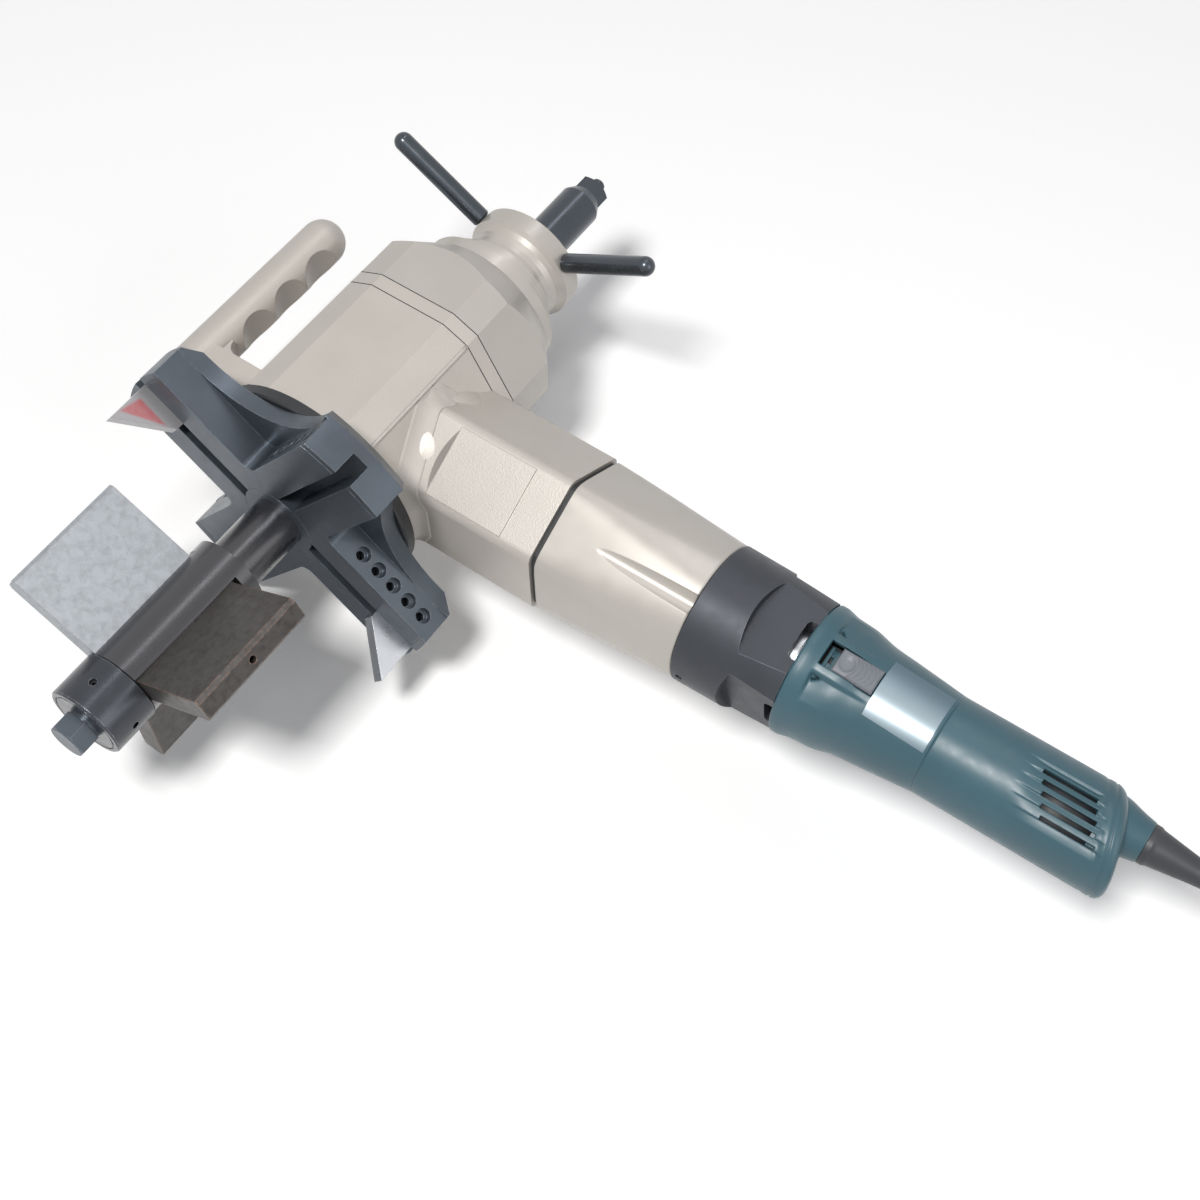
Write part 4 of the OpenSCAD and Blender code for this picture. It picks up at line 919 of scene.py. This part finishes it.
# Painted shade: each band is a dark strip standing in for the shade inside a seam
for name, y in (("front_seam_shade", SEAM_Y), ("rear_seam_shade", COVER_SEAM_Y)):
    rows = [[(x * share, y + side, z * share) for x, z in case_outline] for side, share in SEAM_SHADE]
    piece(name, *closed(rows), RUBBER, "black_plastic", smooth=False)

# Strap that ties the coil: two radii from the coil's middle, then two heights
STRAP_ANGLE = 230
STRAP_HALF_W = 6.0
STRAP_ROUND = 3.0
STRAP_INSIDE = (27.4, 62.6, -127.05, -94.9)
STRAP_OUTSIDE = (26.5, 63.5, -127.4, -93.9)


def round_side(low, high, share):
    """A place between two sides, for a share of -1 to 1, with round corners."""
    return (low + high) / 2 + math.copysign((high - low) / 2 - STRAP_ROUND, share) + STRAP_ROUND * share


def strap_ring(low_r, high_r, low_z, high_z, across):
    """A ring round the coil's section."""
    ring = []
    out_x, out_y = cos_sin(STRAP_ANGLE)
    for phi in stations(5, 36, 10):
        c, s = cos_sin(phi)
        r = round_side(low_r, high_r, c)
        ring.append((COIL_X + r * out_x - across * out_y, COIL_Y + r * out_y + across * out_x,
                     round_side(low_z, high_z, s)))
    return ring


rows = [strap_ring(*STRAP_INSIDE, -STRAP_HALF_W), strap_ring(*STRAP_OUTSIDE, -STRAP_HALF_W),
        strap_ring(*STRAP_OUTSIDE, STRAP_HALF_W), strap_ring(*STRAP_INSIDE, STRAP_HALF_W)]
strap = piece("cord_strap", *closed(rows), RUBBER, "black_plastic", smooth=False)

# Pale floor just under the machine
FLOOR_HALF = 0.9
FLOOR_CENTRE = 0.2
FLOOR_GAP = 0.0005


def floor_finish():
    """Matt white with a faint glow."""
    f = Finish("floor", 0.6)
    f.shader.inputs["Base Color"].default_value = (0.99, 0.99, 0.99, 1)
    f.shader.inputs["Specular IOR Level"].default_value = 0.0
    f.shader.inputs["Emission Color"].default_value = (1, 1, 1, 1)
    f.shader.inputs["Emission Strength"].default_value = 0.12
    return f.done()


low, high = FLOOR_CENTRE - FLOOR_HALF, FLOOR_CENTRE + FLOOR_HALF
floor_corners = ((low, low), (high, low), (high, high), (low, high))
floor_mesh = bpy.data.meshes.new("floor")
floor_mesh.from_pydata([(x, y, FLOOR_Z - FLOOR_GAP) for x, y in floor_corners], [], [(0, 1, 2, 3)])
floor = linked("floor", floor_mesh)
dress(floor, floor_finish())

# World: white where it is seen or mirrored, and a dim cool room for all other light
world = bpy.data.worlds.new("studio")
bpy.context.scene.world = world
world.use_nodes = True
tree = world.node_tree
tree.nodes.clear()


def larger(a, b):
    """The larger of two values."""
    node = tree.nodes.new("ShaderNodeMath")
    node.operation = "MAXIMUM"
    tree.links.new(a, node.inputs[0])
    tree.links.new(b, node.inputs[1])
    return node.outputs[0]


def background(colour, strength):
    """A background of one colour."""
    node = tree.nodes.new("ShaderNodeBackground")
    node.inputs["Color"].default_value = (*colour, 1)
    node.inputs["Strength"].default_value = strength
    return node.outputs[0]


rays = tree.nodes.new("ShaderNodeLightPath").outputs
seen = larger(larger(rays["Is Camera Ray"], rays["Is Transmission Ray"]), rays["Is Glossy Ray"])
blend = tree.nodes.new("ShaderNodeMixShader")
out = tree.nodes.new("ShaderNodeOutputWorld")
tree.links.new(seen, blend.inputs[0])
tree.links.new(background((0.93, 0.96, 1.0), 0.12), blend.inputs[1])
tree.links.new(background((1, 1, 1), 1.0), blend.inputs[2])
tree.links.new(blend.outputs[0], out.inputs["Surface"])

# Lamps: direction from the target, distance, sides, share of white and tone
TARGET = Vector((0.2, 0.15, 0.0))
LAMPS = (
    ("key_lamp", (0.03, -0.40, 0.92), 3.6, (0.65, 0.65), 0.82, (1.0, 0.99, 0.975)),
    ("strip_lamp", (-0.06, 0.43, 0.90), 3.2, (0.35, 2.0), 0.11, (0.96, 0.95, 1.0)),
    ("side_lamp", (0.9, 0.05, 0.45), 3.4, (2.0, 2.0), 0.2, (0.985, 0.99, 1.0)),
)


def lamp(name, direction, distance, size, share, tone):
    """An area lamp that lights a surface facing it to a share of white."""
    data = bpy.data.lights.new(name, "AREA")
    data.shape = "RECTANGLE"
    data.size, data.size_y = size
    data.energy = share * (math.pi * distance) ** 2
    data.color = tone
    made = linked(name, data)
    made.location = TARGET + Vector(direction).normalized() * distance
    made.rotation_mode = "QUATERNION"
    made.rotation_quaternion = (-Vector(direction)).to_track_quat("-Z", "Y")


for settings in LAMPS:
    lamp(*settings)

bpy.context.scene.view_settings.view_transform = "Standard"
